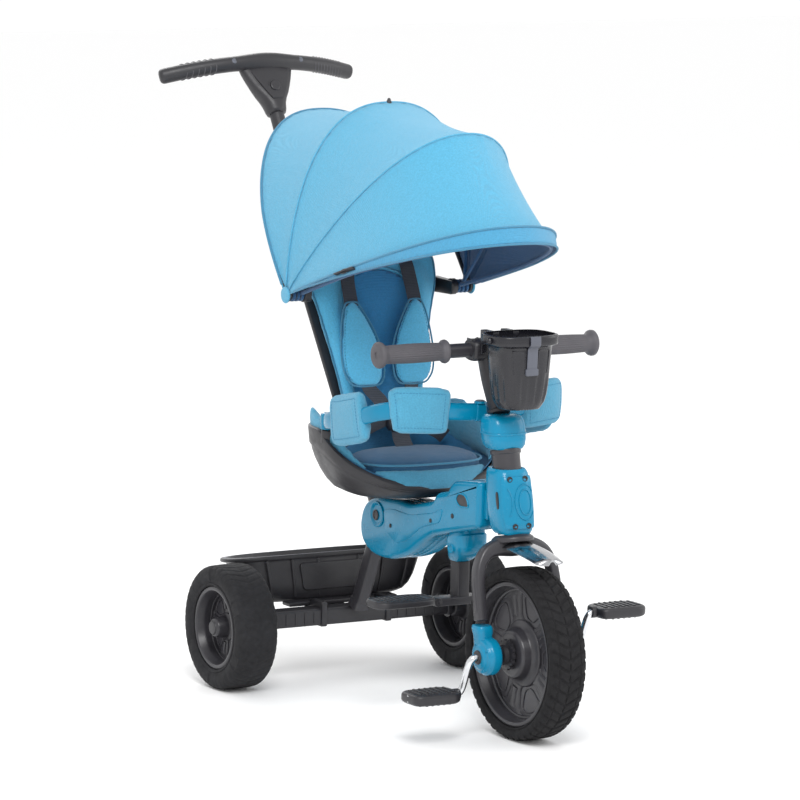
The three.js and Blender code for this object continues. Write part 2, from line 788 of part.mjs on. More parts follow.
// One bar behind the beam locks both rear wheels; a foot plate in its middle turns it.
add(
  "brake_bar",
  join(
    rod([-BRAKE.halfX, BRAKE.y, BRAKE.z], [BRAKE.halfX, BRAKE.y, BRAKE.z], BRAKE.radius, 14),
    box([-30, BRAKE.y, BRAKE.z - 5], [30, BRAKE.y + 34, BRAKE.z + 3]),
  ),
  DARK_PLASTIC,
);

// ---------------------------------------------------------------- push handle
// The outer tube is open at the top, with a collar round its mouth; the handle's own tube slides in it.
const OUTER_TUBE_LENGTH = 400;
const INNER_TUBE_RADIUS = 12;
add(
  "push_tube",
  cut(
    join(
      rod(onPole(0), onPole(OUTER_TUBE_LENGTH), PUSH_TUBE_RADIUS, 20),
      rod(onPole(OUTER_TUBE_LENGTH - 38), onPole(OUTER_TUBE_LENGTH), PUSH_TUBE_RADIUS + 4, 20),
    ),
    rod(onPole(120), onPole(OUTER_TUBE_LENGTH + 5), INNER_TUBE_RADIUS + 0.5, 16),
  ),
  DARK_PLASTIC,
);

function pushHandle() {
  // The bar arcs in a plane square to the pole, ends drooping back.
  const bar = bentRod(
    [-171, -150, -110, -60, 0, 60, 110, 150, 171].map((x) => {
      const bend = (x / 171) ** 2;
      return [x, 850 + 34 * bend, 976 - 22 * bend];
    }),
    13,
    14,
    8,
  );
  const along = (t, halfX, halfY, square = 3) => {
    const [, y, z] = onPole(poleLength + t);
    return ring(halfX, halfY, 0, 0, square, 20).map(
      (p) => new THREE.Vector3(p.x, y + p.y * poleZ, z - p.y * poleY),
    );
  };
  const yoke = loft([
    along(0, 17, 17, 2.2),
    along(14, 19, 18, 2.4),
    along(28, 27, 17),
    along(50, 38, 15),
    along(76, 47, 13),
    along(88, 46, 8),
  ]);
  const innerTube = rod(onPole(250), onPole(poleLength + 5), INNER_TUBE_RADIUS, 16);
  return join(bar, yoke, innerTube);
}

// The button stands in a round pocket on the yoke's front face, with room below it for its travel.
const BUTTON_AT = 40;
function offFace(lift) {
  const [, y, z] = onPole(poleLength + BUTTON_AT);
  return [0, y - poleZ * lift, z + poleY * lift];
}
const buttonPocket = rod(offFace(13.2), offFace(30), 10, 20);
add("push_handle", cut(pushHandle(), buttonPocket), DARK_PLASTIC);
add("handle_button", rod(offFace(15.6), offFace(21), 9, 20), GREY_PLASTIC);

// ---------------------------------------------------------------- seat and backrest
// The rim of the bucket seat is low in front and rises along the sides.
function seatRim(x, y) {
  const forward = THREE.MathUtils.clamp((y - (SEAT.y - SEAT.halfY)) / 120, 0, 1);
  return 349 + 88 * forward ** 0.8;
}
function seatRing(size, lift, inset = 0) {
  return ring(SEAT.halfX * size - inset, SEAT.halfY * size - inset, SEAT.y, 0, 2.5, 28).map((p) => {
    const rim = seatRim(p.x, SEAT.y + (p.y - SEAT.y) / size);
    return new THREE.Vector3(p.x, p.y, THREE.MathUtils.lerp(SEAT.floorZ, rim, lift));
  });
}
const WALL = 5;
const seatBowl = loft([
  ...[
    [0.3, 0],
    [0.62, 0.03],
    [0.805, 0.22],
    [0.94, 0.58],
    [1, 1],
  ].map(([size, lift]) => seatRing(size, lift)),
  ...[
    [1, 1],
    [0.94, 0.6],
    [0.82, 0.26],
    [0.62, 0.07],
  ].map(([size, lift]) => seatRing(size, lift, WALL).map((p) => p.setZ(p.z + (lift === 1 ? 0 : 3)))),
  seatRing(0.3, 0, 0).map((p) => p.setZ(p.z + 6)),
]);
const seatEars = [-1, 1].map((side) =>
  rod(
    [side * SAFETY_BAR.pivotX, SAFETY_BAR.pivotY, SAFETY_BAR.pivotZ - 34],
    [side * SAFETY_BAR.pivotX, SAFETY_BAR.pivotY, SAFETY_BAR.pivotZ - 13],
    11,
    16,
  ),
);
// A block under the bowl stands on the frame.
const seatBlock = loft([ring(27, 30, 372, 321.6, 3.4, 20), ring(27, 30, 372, SEAT.floorZ + 1, 3.4, 20)]);
add("seat_shell", join(seatBowl, seatBlock, ...seatEars), DARK_PLASTIC);

// Points of the backrest: across, up along its lean, and out from its face.
const leanY = BACKREST.top[0] - BACKREST.foot[0];
const leanZ = BACKREST.top[1] - BACKREST.foot[1];
const leanLength = Math.hypot(leanY, leanZ);
function onBackrest(x, up, out = 0) {
  const y = BACKREST.foot[0] + (leanY * up) / leanLength - (out * leanZ) / leanLength;
  const z = BACKREST.foot[1] + (leanZ * up) / leanLength + (out * leanY) / leanLength;
  return new THREE.Vector3(x, y, z);
}
// Half the backrest's width at a height along it.
function backHalf(up) {
  const t = up / leanLength;
  const widening = 78 + 62 * THREE.MathUtils.clamp(t * 1.35, 0, 1);
  return t > 0.82 ? widening * Math.sqrt(Math.max(0, 1 - ((t - 0.82) / 0.24) ** 2)) : widening;
}
function backSlab(front, back, grow, from, to) {
  const rows = [];
  for (let i = 0; i <= 7; i++) {
    const up = THREE.MathUtils.lerp(from, to, i / 7);
    const half = backHalf(THREE.MathUtils.clamp(up, 0, leanLength)) * grow;
    const end = i === 0 || i === 7 ? 0.55 : 1;
    const middle = (front + back) / 2;
    const thick = ((front - back) / 2) * end;
    rows.push(
      ring(half * 0.94, thick, 0, 0, 3.4, 18).map((p) => onBackrest(p.x, up, middle + p.y)),
    );
  }
  return loft(rows);
}
add("backrest_pad", backSlab(0, -30, 0.9, 0, leanLength), SKY_FABRIC);
add("backrest_shell", backSlab(-31, -39, 0.94, 4, leanLength - 4), DARK_PLASTIC);

// The seat cushion: crowned, thinner towards its edge.
const CUSHION = { y: 346, halfX: 112, halfY: 76 };
add(
  "seat_cushion",
  loft([
    ring(60, 40, CUSHION.y, 344, 2.6, 24),
    ring(96, 62, CUSHION.y, 356, 2.6, 24),
    ring(CUSHION.halfX, CUSHION.halfY, CUSHION.y, 378, 2.6, 24),
    ring(CUSHION.halfX - 4, CUSHION.halfY - 4, CUSHION.y, 392, 2.6, 24),
    ring(84, 52, CUSHION.y, 402, 2.6, 24),
  ]),
  SKY_FABRIC,
);

// Shoulder pads lie on the backrest, their webbing inside them.
function shoulderPad(side) {
  // [distance from the middle, height up the backrest, half width]
  const levels = [
    [58, 202, 12],
    [57, 180, 20],
    [51, 150, 29],
    [45, 115, 33],
    [41, 85, 31],
    [39, 64, 21],
  ];
  const rows = levels.map(([x, up, half]) =>
    ring(half, 8, 0, 0, 3, 16).map((p) => onBackrest(x + p.x, up, 10 + p.y)),
  );
  return sided(loft(rows), side);
}
for (const [name, side] of Object.entries(SIDES)) {
  add("shoulder_pad_" + name, shoulderPad(side), SKY_FABRIC);
}
const buckleFace = { y: 392, z: 446 };
add(
  "harness_buckle",
  cut(
    loft([
      ring(20, 9, buckleFace.y, buckleFace.z - 22, 3.4, 20),
      ring(24, 11, buckleFace.y, buckleFace.z - 14, 3.4, 20),
      ring(24, 11, buckleFace.y + 3, buckleFace.z + 16, 3.4, 20),
      ring(19, 9, buckleFace.y + 4, buckleFace.z + 24, 3.4, 20),
    ]),
    rod([0, buckleFace.y - 30, buckleFace.z], [0, buckleFace.y - 3, buckleFace.z], 8.6, 16),
  ),
  DARK_PLASTIC,
);
add(
  "buckle_button",
  rod([0, buckleFace.y - 13, buckleFace.z], [0, buckleFace.y - 7, buckleFace.z], 8, 16),
  GREY_PLASTIC,
);
// The crotch strap runs from the cushion's front up to the buckle.
add(
  "crotch_strap",
  plate(
    [
      [378, 403],
      [385, 408],
      [389, 414],
      [391, 423],
    ].map(([y, z]) => [-17, 17].map((x) => new THREE.Vector3(x, y, z))),
    2,
  ),
  WEBBING,
);

// ---------------------------------------------------------------- safety bar and its padding
// One half of the bar, from its pivot beside the seat round to the middle in front.
const barPath = [
  [SAFETY_BAR.pivotX, SAFETY_BAR.pivotY, SAFETY_BAR.pivotZ],
  [160, 335, 456],
  [165, 285, 464],
  [165, 230, 476],
  [159, 184, 489],
  [138, 152, 496],
  [100, 138, 495],
  [50, 131, 491],
  [1.5, SAFETY_BAR.front, SAFETY_BAR.frontZ],
];
// Upright ovals along part of the bar's path, set by hand so that they never twist.
function barRings(from, to, halfThick, halfTall, steps, sizeAt) {
  const path = new THREE.CatmullRomCurve3(barPath.map((p) => new THREE.Vector3(...p)), false, "centripetal");
  const rings = [];
  for (let i = 0; i <= steps; i++) {
    const t = THREE.MathUtils.lerp(from, to, i / steps);
    const at = path.getPointAt(t);
    const ahead = path.getTangentAt(t);
    const across = new THREE.Vector3().crossVectors(ahead, new THREE.Vector3(0, 0, 1)).normalize();
    const up = new THREE.Vector3().crossVectors(across, ahead);
    const size = sizeAt(i);
    rings.push(
      ring(halfThick * size, halfTall * size, 0, 0, 2.6, 12).map((p) =>
        at.clone().addScaledVector(across, p.x).addScaledVector(up, p.y),
      ),
    );
  }
  return rings;
}
const PADS = { side: [0.16, 0.42], front: [0.58, 0.83] };
// A pad is a sleeve round the bar: its outside one way along the bar, its inside back again.
function barSleeve(from, to, halfThick, halfTall) {
  const sizes = [0.72, 1, 1, 1, 1, 0.72];
  const outside = barRings(from, to, halfThick, halfTall, 5, (i) => sizes[i]);
  const inside = barRings(from, to, 8.8, 14.8, 5, () => 1).reverse();
  return loop([...outside, ...inside]);
}
for (const [name, side] of Object.entries(SIDES)) {
  const [x, y, z] = barPath[0];
  const arm = join(loft(barRings(0.02, 1, 7, 13, 15, () => 1)), rod([x, y, z - 12], [x, y, z + 12], 11, 12));
  add("safety_bar_" + name, sided(arm, side), BLUE_PLASTIC);
  for (const [place, [from, to]] of Object.entries(PADS)) {
    const pad = barSleeve(from, to, 14, place === "side" ? 42 : 41);
    add("bar_pad_" + place + "_" + name, sided(pad, side), SKY_FABRIC);
  }
}
add(
  "bar_button",
  rod([-11, SAFETY_BAR.front, SAFETY_BAR.frontZ + 15.5], [-11, SAFETY_BAR.front, SAFETY_BAR.frontZ + 20], 7, 14),
  GREY_PLASTIC,
);

// ---------------------------------------------------------------- canopy
// A point of a bow: angle round it from 0 on the right to PI on the left, in the bow's plane.
function onBow({ angle, height, width, square }, turn, grow = 0, legX = CANOPY.halfX) {
  const lean = THREE.MathUtils.degToRad(angle);
  const c = Math.cos(turn);
  const reach = Math.abs(Math.sin(turn)) ** (2 / square);
  const wide = legX + (width - legX) * Math.min(1, reach / 0.45) ** 1.2;
  const x = -Math.sign(c) * Math.abs(c) ** (2 / square) * (wide + grow);
  const r = reach * (height + grow);
  return new THREE.Vector3(x, CANOPY.y + r * Math.sin(lean), CANOPY.z + r * Math.cos(lean));
}
const BOW_RADIUS = 3.2;
function bow(shape, legX) {
  const points = [];
  const steps = 16;
  for (let i = 0; i <= steps; i++) {
    const turn = THREE.MathUtils.lerp(0.06, Math.PI - 0.06, i / steps);
    points.push(onBow(shape, turn, -8, legX + 8).toArray());
  }
  const rail = bentRod(points, BOW_RADIUS, 18, 6);
  const eyes = [-1, 1].map((side) =>
    rod([side * (legX - 2.2), CANOPY.y, CANOPY.z], [side * (legX + 2.2), CANOPY.y, CANOPY.z], 11, 12),
  );
  const pin = rod([-200, CANOPY.y, CANOPY.z], [200, CANOPY.y, CANOPY.z], 5.4, 10);
  const tips = [points[0], points.at(-1)].map((tip) =>
    rod(tip, [Math.sign(tip[0]) * legX, CANOPY.y, CANOPY.z], BOW_RADIUS, 6),
  );
  return cut(join(rail, ...tips, ...eyes), pin);
}
const bowLegs = { rear: 166.5, middle: 159, front: 151.5, brim: 144 };
for (const [name, legX] of Object.entries(bowLegs)) {
  add("canopy_bow_" + name, bow(BOWS[name], legX), DARK_PLASTIC);
}

// A fabric panel between two bows; it hollows a little between them.
function panel(from, to, hollow, start = 0, end = 1) {
  const rows = [];
  const across = 16;
  for (let k = 0; k <= 3; k++) {
    const t = THREE.MathUtils.lerp(start, end, k / 3);
    const row = [];
    for (let i = 0; i <= across; i++) {
      const turn = THREE.MathUtils.lerp(0.1, Math.PI - 0.1, i / across);
      const a = onBow(from, turn);
      const b = onBow(to, turn);
      const p = a.lerp(b, t);
      const inward = hollow * 4 * t * (1 - t) * Math.sin(turn);
      const away = new THREE.Vector3(p.x * 0.3, p.y - CANOPY.y, p.z - CANOPY.z).normalize();
      row.push(p.addScaledVector(away, -inward));
    }
    rows.push(row);
  }
  return plate(rows, -2);
}
add("canopy_panel_rear", panel(BOWS.rear, BOWS.middle, 6, 0, 0.985), SKY_FABRIC);
add("canopy_panel_middle", panel(BOWS.middle, BOWS.front, 6, 0.015, 0.985), SKY_FABRIC);
add("canopy_panel_front", panel(BOWS.front, BOWS.brim, 6, 0.015, 1), SKY_FABRIC);

// A bracket on each side of the backrest ends in the pin that the bows turn on.
function canopyBracket(side) {
  const arm = box([128, CANOPY.y - 12, 626], [139, 519, 652]);
  const lug = box([98, 510, 626], [139, 519, 652]);
  const pin = rod([132, CANOPY.y, CANOPY.z], [171, CANOPY.y, CANOPY.z], 4.8, 14);
  return sided(join(arm, lug, pin), side);
}
for (const [name, side] of Object.entries(SIDES)) {
  add("canopy_bracket_" + name, canopyBracket(side), DARK_PLASTIC);
}

tricycle.position.y = -LENGTH_MIDDLE;

export default tricycle;
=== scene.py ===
"""The looks of a child's tricycle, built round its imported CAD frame.

The row frame is in metres, +Z up, with the tricycle's front towards -Y and the rider's right hand on -X.
at() takes millimetres from the point of the floor under the front axle, as the CAD source does.
"""

import json
import math

import bmesh
import bpy
from mathutils import Matrix, Vector, noise


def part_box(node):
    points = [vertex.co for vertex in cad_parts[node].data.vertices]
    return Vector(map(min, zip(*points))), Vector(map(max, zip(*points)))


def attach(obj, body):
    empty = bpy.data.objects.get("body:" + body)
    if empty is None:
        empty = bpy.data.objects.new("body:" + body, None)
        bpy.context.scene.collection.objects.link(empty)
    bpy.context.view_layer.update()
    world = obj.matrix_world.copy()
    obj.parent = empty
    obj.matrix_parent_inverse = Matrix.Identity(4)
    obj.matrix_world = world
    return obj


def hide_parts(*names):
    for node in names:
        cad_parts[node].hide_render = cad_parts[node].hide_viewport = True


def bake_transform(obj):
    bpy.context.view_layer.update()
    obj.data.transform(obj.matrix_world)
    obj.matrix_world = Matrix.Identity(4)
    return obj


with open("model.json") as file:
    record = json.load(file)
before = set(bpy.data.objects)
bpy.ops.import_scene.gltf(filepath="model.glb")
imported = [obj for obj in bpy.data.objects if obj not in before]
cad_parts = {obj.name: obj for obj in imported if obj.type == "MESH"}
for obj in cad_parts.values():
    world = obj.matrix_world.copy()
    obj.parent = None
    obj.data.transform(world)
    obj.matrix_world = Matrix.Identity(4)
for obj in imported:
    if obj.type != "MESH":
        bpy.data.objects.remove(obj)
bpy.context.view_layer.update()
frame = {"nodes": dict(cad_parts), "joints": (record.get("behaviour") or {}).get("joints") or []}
MM = 0.001
X, Y, UP = Vector((1, 0, 0)), Vector((0, 1, 0)), Vector((0, 0, 1))
SIDES = {"right": -1, "left": 1}
JOINTS = {joint["name"]: joint for joint in frame["joints"]}

# The camera stands where the wheels' ellipses have their pictured shapes; the roll is in degrees.
CAMERA_LENS = 225.3
CAMERA_PLACE = Vector((-3.9686, -6.7816, 1.5886))
CAMERA_TARGET = Vector((-0.0452, -0.0674, 0.4851))
CAMERA_ROLL = 1.0
WORLD_STRENGTH = 1.04
FLOOR_REACH = 14
# Each light's place and target in metres, its size and its power in watts.
LIGHTS = {
    "key": ((-1.5, -3.0, 3.4), (0, 0, 0.4), (1.6, 1.6), 105),
    "fill": ((3.0, -1.6, 1.6), (0, 0, 0.5), (2.0, 1.6), 22),
    "back": ((0.6, 3.2, 2.6), (0, 0, 0.5), (2.5, 1.5), 40),
}


def middle(node):
    """The middle of a CAD node's box."""
    low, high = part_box(node)
    return (low + high) / 2


AXLE = middle("front_tyre")


def at(x, y, z):
    """A point in millimetres: across, behind the front axle, and above the floor."""
    return Vector((x * MM, AXLE.y + y * MM, z * MM))


def from_side(u, v, w):
    """A point of an outline drawn as seen from the side: back, up and across."""
    return at(w, u, v)


def from_front(u, v, w):
    """A point of an outline drawn as seen from the front: across, up and back."""
    return at(u, w, v)


def lerp(a, b, t):
    """The value a share t of the way from a to b."""
    return a + (b - a) * t


def steady(half_width, half_height, square):
    """A sweep's section that stays the same along it."""
    return lambda t: (half_width, half_height, square)


def clamp(value, low=0.0, high=1.0):
    """A value held between two limits."""
    return max(low, min(high, value))


def smoothstep(value):
    """An eased step from 0 to 1."""
    value = clamp(value)
    return value * value * (3 - 2 * value)


# ---------------------------------------------------------------- camera, light and floor
def make_camera():
    """The camera, at the photograph's place."""
    data = bpy.data.cameras.new("camera")
    data.lens = CAMERA_LENS
    data.sensor_width = 36
    data.clip_start = 0.1
    data.clip_end = 60
    camera = bpy.data.objects.new("camera", data)
    bpy.context.scene.collection.objects.link(camera)
    turn = (CAMERA_TARGET - CAMERA_PLACE).to_track_quat("-Z", "Y").to_matrix()
    roll = Matrix.Rotation(math.radians(CAMERA_ROLL), 3, "Z")
    camera.matrix_world = Matrix.Translation(CAMERA_PLACE) @ (turn @ roll).to_4x4()
    bpy.context.scene.camera = camera


def area_light(name, location, target, size, power):
    """A rectangular light that faces a target."""
    data = bpy.data.lights.new(name, "AREA")
    data.shape = "RECTANGLE"
    data.size = size[0]
    data.size_y = size[1]
    data.energy = power
    light = bpy.data.objects.new(name, data)
    light.location = location
    light.rotation_euler = (Vector(target) - Vector(location)).to_track_quat("-Z", "Y").to_euler()
    bpy.context.scene.collection.objects.link(light)


def make_studio():
    """A white world, three soft lights and a pale floor."""
    world = bpy.data.worlds.new("studio")
    bpy.context.scene.world = world
    world.use_nodes = True
    background = world.node_tree.nodes["Background"]
    background.inputs["Color"].default_value = (1.0, 1.0, 1.0, 1)
    background.inputs["Strength"].default_value = WORLD_STRENGTH
    for name, (place, target, size, power) in LIGHTS.items():
        area_light(name, place, target, size, power)
    mesh = bpy.data.meshes.new("floor")
    corners = [(a * FLOOR_REACH, b * FLOOR_REACH, 0) for a, b in ((-1, -1), (1, -1), (1, 1), (-1, 1))]
    mesh.from_pydata(corners, [], [(0, 1, 2, 3)])
    floor = bpy.data.objects.new("floor", mesh)
    bpy.context.scene.collection.objects.link(floor)
    floor.data.materials.append(shader("floor", (0.95, 0.95, 0.95), 0.75))
    bpy.context.scene.view_settings.view_transform = "Standard"


# ---------------------------------------------------------------- materials
def shader(name, color, roughness, **sockets):
    """A Principled material; a keyword such as coat_weight sets the socket of that name."""
    material = bpy.data.materials.new(name)
    material.use_nodes = True
    inputs = material.node_tree.nodes["Principled BSDF"].inputs
    inputs["Base Color"].default_value = (*color, 1)
    inputs["Roughness"].default_value = roughness
    for key, value in sockets.items():
        inputs[key.replace("_", " ").title().replace("Ior", "IOR")].default_value = value
    material.diffuse_color = (*color, 1)
    return material


class Tree:
    """A material's node tree, with the object's own coordinates ready."""

    def __init__(self, material):
        self.tree = material.node_tree
        self.principled = self.tree.nodes["Principled BSDF"]
        self.place = self.tree.nodes.new("ShaderNodeTexCoord").outputs["Object"]

    def node(self, kind, inputs=(), **values):
        node = self.tree.nodes.new("ShaderNode" + kind)
        for key, value in values.items():
            setattr(node, key, value)
        for key, value in dict(inputs).items():
            if isinstance(value, bpy.types.NodeSocket):
                self.tree.links.new(value, node.inputs[key])
            else:
                node.inputs[key].default_value = value
        return node

    def noise(self, size, detail=3.0, roughness=0.55):
        """Noise whose features are about size metres wide."""
        node = self.node("TexNoise", {"Vector": self.place, "Scale": 1 / size, "Detail": detail,
                                      "Roughness": roughness})
        return node.outputs["Fac"]

    def ranged(self, value, low, high, start=0.3, end=0.7):
        inputs = {"Value": value, "From Min": start, "From Max": end, "To Min": low, "To Max": high}
        return self.node("MapRange", inputs).outputs["Result"]

    def mixed(self, factor, a, b, blend="MIX"):
        node = self.node("Mix", data_type="RGBA", blend_type=blend)
        for key, value in ((0, factor), (6, a), (7, b)):
            if isinstance(value, bpy.types.NodeSocket):
                self.tree.links.new(value, node.inputs[key])
            else:
                node.inputs[key].default_value = value if key == 0 else (*value, 1)
        return node.outputs[2]

    def sum(self, *values, operation="ADD"):
        result = values[0]
        for value in values[1:]:
            result = self.node("Math", {0: result, 1: value}, operation=operation).outputs[0]
        return result

    def color(self, socket):
        self.tree.links.new(socket, self.principled.inputs["Base Color"])

    def roughness(self, socket):
        self.tree.links.new(socket, self.principled.inputs["Roughness"])

    def bump(self, height, distance, strength=1.0):
        node = self.node("Bump", {"Height": height, "Distance": distance, "Strength": strength})
        self.tree.links.new(node.outputs["Normal"], self.principled.inputs["Normal"])


def shade_of(color, factor):
    """A colour made paler or darker."""
    return tuple(clamp(channel * factor) for channel in color)


def moulded(name, color, roughness, grain, depth, wear=0.0, **sockets):
    """Moulded plastic: a fine grain, slightly uneven tone and gloss, and paler worn edges."""
    material = shader(name, color, roughness, **sockets)
    tree = Tree(material)
    tone = tree.mixed(tree.ranged(tree.noise(0.05), 0, 1), shade_of(color, 0.92), shade_of(color, 1.07))
    if wear:
        edges = tree.node("NewGeometry").outputs["Pointiness"]
        worn = tree.sum(tree.ranged(edges, 0, wear, 0.52, 0.62), tree.noise(0.006), operation="MULTIPLY")
        tone = tree.mixed(worn, tone, shade_of(color, 1.0 if max(color) > 0.9 else 2.2))
    tree.color(tone)
    tree.roughness(tree.ranged(tree.noise(0.012), roughness * 0.85, roughness * 1.15))
    tree.bump(tree.noise(grain, 2.0), depth)
    return material


def woven(name, color, pitch=0.0011, depth=0.00022, variation=0.1, **sockets):
    """Woven cloth: threads both ways, a mottled dye and soft puckers."""
    sockets = {"sheen_weight": 0.25, "sheen_roughness": 0.5, **sockets}
    material = shader(name, color, 0.88, **sockets)
    tree = Tree(material)
    waves = [
        tree.node("TexWave", {"Vector": tree.place, "Scale": math.tau / pitch / 20, "Distortion": 0.6,
                              "Detail": 1.0},
                  bands_direction=way).outputs["Fac"]
        for way in "XYZ"
    ]
    threads = tree.sum(*waves)
    mottle = tree.mixed(
        tree.ranged(tree.noise(pitch * 2.2, 2.0), 0, 1),
        shade_of(color, 1 - variation),
        shade_of(color, 1 + variation),
    )
    tree.color(mottle)
    puckers = tree.noise(0.018, 2.0)
    height = tree.sum(threads, tree.sum(puckers, 6.0, operation="MULTIPLY"))
    tree.bump(height, depth)
    return material


def ribbed(name, color, pitch=0.0024):
    """Strap webbing, ribbed across its length."""
    material = shader(name, color, 0.8, sheen_weight=0.15)
    tree = Tree(material)
    rows = tree.node("TexWave", {"Vector": tree.place, "Scale": math.tau / pitch / 20},
                     bands_direction="Z").outputs["Fac"]
    fine = tree.node("TexWave", {"Vector": tree.place, "Scale": math.tau / pitch / 9},
                     bands_direction="X").outputs["Fac"]
    tree.color(tree.mixed(rows, shade_of(color, 0.75), shade_of(color, 1.3)))
    tree.bump(tree.sum(rows, fine), 0.0003)
    return material


def foam_rubber(name, color):
    """Foamed tyre compound: a matt skin with pits and dust."""
    material = shader(name, color, 0.82, specular_ior_level=0.3)
    tree = Tree(material)
    dust = tree.ranged(tree.noise(0.03, 4.0), 0, 1, 0.4, 0.75)
    tree.color(tree.mixed(dust, shade_of(color, 0.85), shade_of(color, 1.35)))
    tree.roughness(tree.ranged(tree.noise(0.008), 0.72, 0.9))
    tree.bump(tree.noise(0.0012, 3.0), 0.0003)
    return material


def plated(name, color):
    """Plated steel with a faint haze."""
    material = shader(name, color, 0.16, metallic=1.0)
    tree = Tree(material)
    tree.color(tree.mixed(tree.ranged(tree.noise(0.01), 0, 1), shade_of(color, 0.85), color))
    tree.roughness(tree.ranged(tree.noise(0.004), 0.1, 0.24))
    tree.bump(tree.noise(0.0015), 0.00003)
    return material


BLUE_SHELL = moulded(
    "blue_shell", (0.001, 0.195, 0.345), 0.25, 0.0016, 0.00003, wear=0.1, coat_weight=0.22,
    coat_roughness=0.06, specular_ior_level=0.25,
)
DARK_SHELL = moulded("dark_shell", (0.018, 0.0175, 0.021), 0.42, 0.0009, 0.00012, wear=0.4)
DARK_SATIN = moulded("dark_satin", (0.030, 0.029, 0.034), 0.34, 0.0012, 0.00007, wear=0.4)
BASKET_SHELL = moulded("basket_shell", (0.010, 0.010, 0.014), 0.27, 0.0012, 0.00005, wear=0.6)
GREY_SHELL = moulded("grey_shell", (0.085, 0.092, 0.115), 0.45, 0.0009, 0.00012, wear=0.4)
GRIP_RUBBER = moulded("grip_rubber", (0.072, 0.069, 0.078), 0.6, 0.0007, 0.00018)
TYRE_FOAM = foam_rubber("tyre_foam", (0.014, 0.014, 0.016))
# The front tyre's foam is the rear tyres' compound darkened: painted shade.
FRONT_PAINTED_SHADE_FOAM = foam_rubber("front_tyre_painted_shade_foam", (0.007, 0.0068, 0.008))
CHROME = plated("chrome", (0.72, 0.73, 0.75))
BLADE_PLATE = plated("blade_plate", (0.42, 0.425, 0.44))
SKY_CLOTH = woven("sky_cloth", (0.080, 0.375, 0.575))
BAND_CLOTH = woven("band_cloth", (0.060, 0.30, 0.50))
PAD_CLOTH = woven("pad_cloth", (0.064, 0.31, 0.475))
# A paler copy of the pad cloth for the backrest and shoulder cushions: painted light that lifts the shade
# the canopy casts on them.
PAINTED_LIGHT_CLOTH = woven("painted_light_cloth", (0.092, 0.47, 0.74))
PANEL_CLOTH = woven("panel_cloth", (0.018, 0.21, 0.46))
DEEP_CLOTH = woven("deep_cloth", (0.022, 0.165, 0.34))
CUSHION_CLOTH = woven("cushion_cloth", (0.016, 0.105, 0.22))
# Navy cloth for the bows, and for the inside face of the canopy, its band and its brim, where the dark navy
# is painted shade.
NAVY_AND_SHADE_CLOTH = woven("navy_and_shade_cloth", (0.010, 0.085, 0.215))
PIPING_CLOTH = woven("piping_cloth", (0.045, 0.25, 0.42), pitch=0.0007)
THREAD = shader("thread", (0.03, 0.19, 0.34), 0.7)
WEBBING = ribbed("webbing", (0.034, 0.040, 0.054))


# ---------------------------------------------------------------- shapes
def oval(half_a, half_b, square=2.0, count=32):
    """Pairs round a superellipse: square 2 is an ellipse, and more is boxier."""
    pairs = []
    for i in range(count):
        angle = math.tau * i / count
        c, s = math.cos(angle), math.sin(angle)
        a = half_a * math.copysign(abs(c) ** (2 / square), c)
        b = half_b * math.copysign(abs(s) ** (2 / square), s)
        pairs.append((a, b))
    return pairs


def rounded(points, radius, steps=4, closed=False):
    """A polyline of pairs with its corners rounded."""
    made = []
    count = len(points)
    for i, point in enumerate(points):
        if not closed and i in (0, count - 1):
            made.append(tuple(point))
            continue
        corner = Vector(point)
        before = Vector(points[i - 1]) - corner
        after = Vector(points[(i + 1) % count]) - corner
        reach = min(radius, before.length * 0.45, after.length * 0.45)
        start = corner + before.normalized() * reach
        end = corner + after.normalized() * reach
        for k in range(steps + 1):
            t = k / steps
            made.append(tuple(start * (1 - t) ** 2 + corner * (2 * t * (1 - t)) + end * t * t))
    return made


def smooth_line(points, count, closed=False):
    """Points at even distances along a smooth curve through the given ones."""
    points = [Vector(p) for p in points]
    total = len(points)
    fine = []
    spans = total if closed else total - 1
    for i in range(spans):
        if closed:
            a, b, c, d = (points[(i + k) % total] for k in (-1, 0, 1, 2))
        else:
            b, c = points[i], points[i + 1]
            a = points[i - 1] if i else b * 2 - c
            d = points[i + 2] if i + 2 < total else c * 2 - b
        for k in range(24):
            t = k / 24
            fine.append((b * 2 + (c - a) * t + (a * 2 - b * 5 + c * 4 - d) * t * t
                         + (b * 3 - a - c * 3 + d) * t ** 3) / 2)
    fine.append(points[0] if closed else points[-1])
    lengths = [0.0]
    for a, b in zip(fine, fine[1:]):
        lengths.append(lengths[-1] + (b - a).length)
    made = []
    k = 0
    steps = count if closed else count - 1
    for i in range(count):
        goal = lengths[-1] * i / steps
        while k < len(fine) - 2 and lengths[k + 1] < goal:
            k += 1
        part = (goal - lengths[k]) / max(lengths[k + 1] - lengths[k], 1e-9)
        made.append(fine[k].lerp(fine[k + 1], clamp(part)))
    return made


def skin(rings, closed=False, capped=True):
    """Vertices and faces over rings of equal count; closed joins the last ring to the first."""
    count = len(rings[0])
    vertices = [point for ring in rings for point in ring]
    faces = []
    for k in range(len(rings) if closed else len(rings) - 1):
        base = k * count
        after = (k + 1) % len(rings) * count
        for i in range(count):
            j = (i + 1) % count
            faces.append((base + i, base + j, after + j, after + i))
    if capped and not closed:
        faces.append(tuple(reversed(range(count))))
        faces.append(tuple(range(len(vertices) - count, len(vertices))))
    return vertices, faces


def turned(profile, centre, sides=72, axis=X, closed=False, wobble=None):
    """A turned shape: profile is pairs of distance along the axis and radius, in millimetres."""
    axis = Vector(axis).normalized()
    first = axis.cross(UP) if abs(axis.dot(UP)) < 0.95 else axis.cross(Y)
    first.normalize()
    second = axis.cross(first)
    rings = []
    for along, radius in profile:
        ring = []
        for i in range(sides):
            angle = math.tau * i / sides
            shift, grow = wobble(angle, along, radius) if wobble else (0, 0)
            out = first * math.cos(angle) + second * math.sin(angle)
            ring.append(centre + axis * (along + shift) * MM + out * max(radius + grow, 0.02) * MM)
        rings.append(ring)
    return skin(rings, closed)


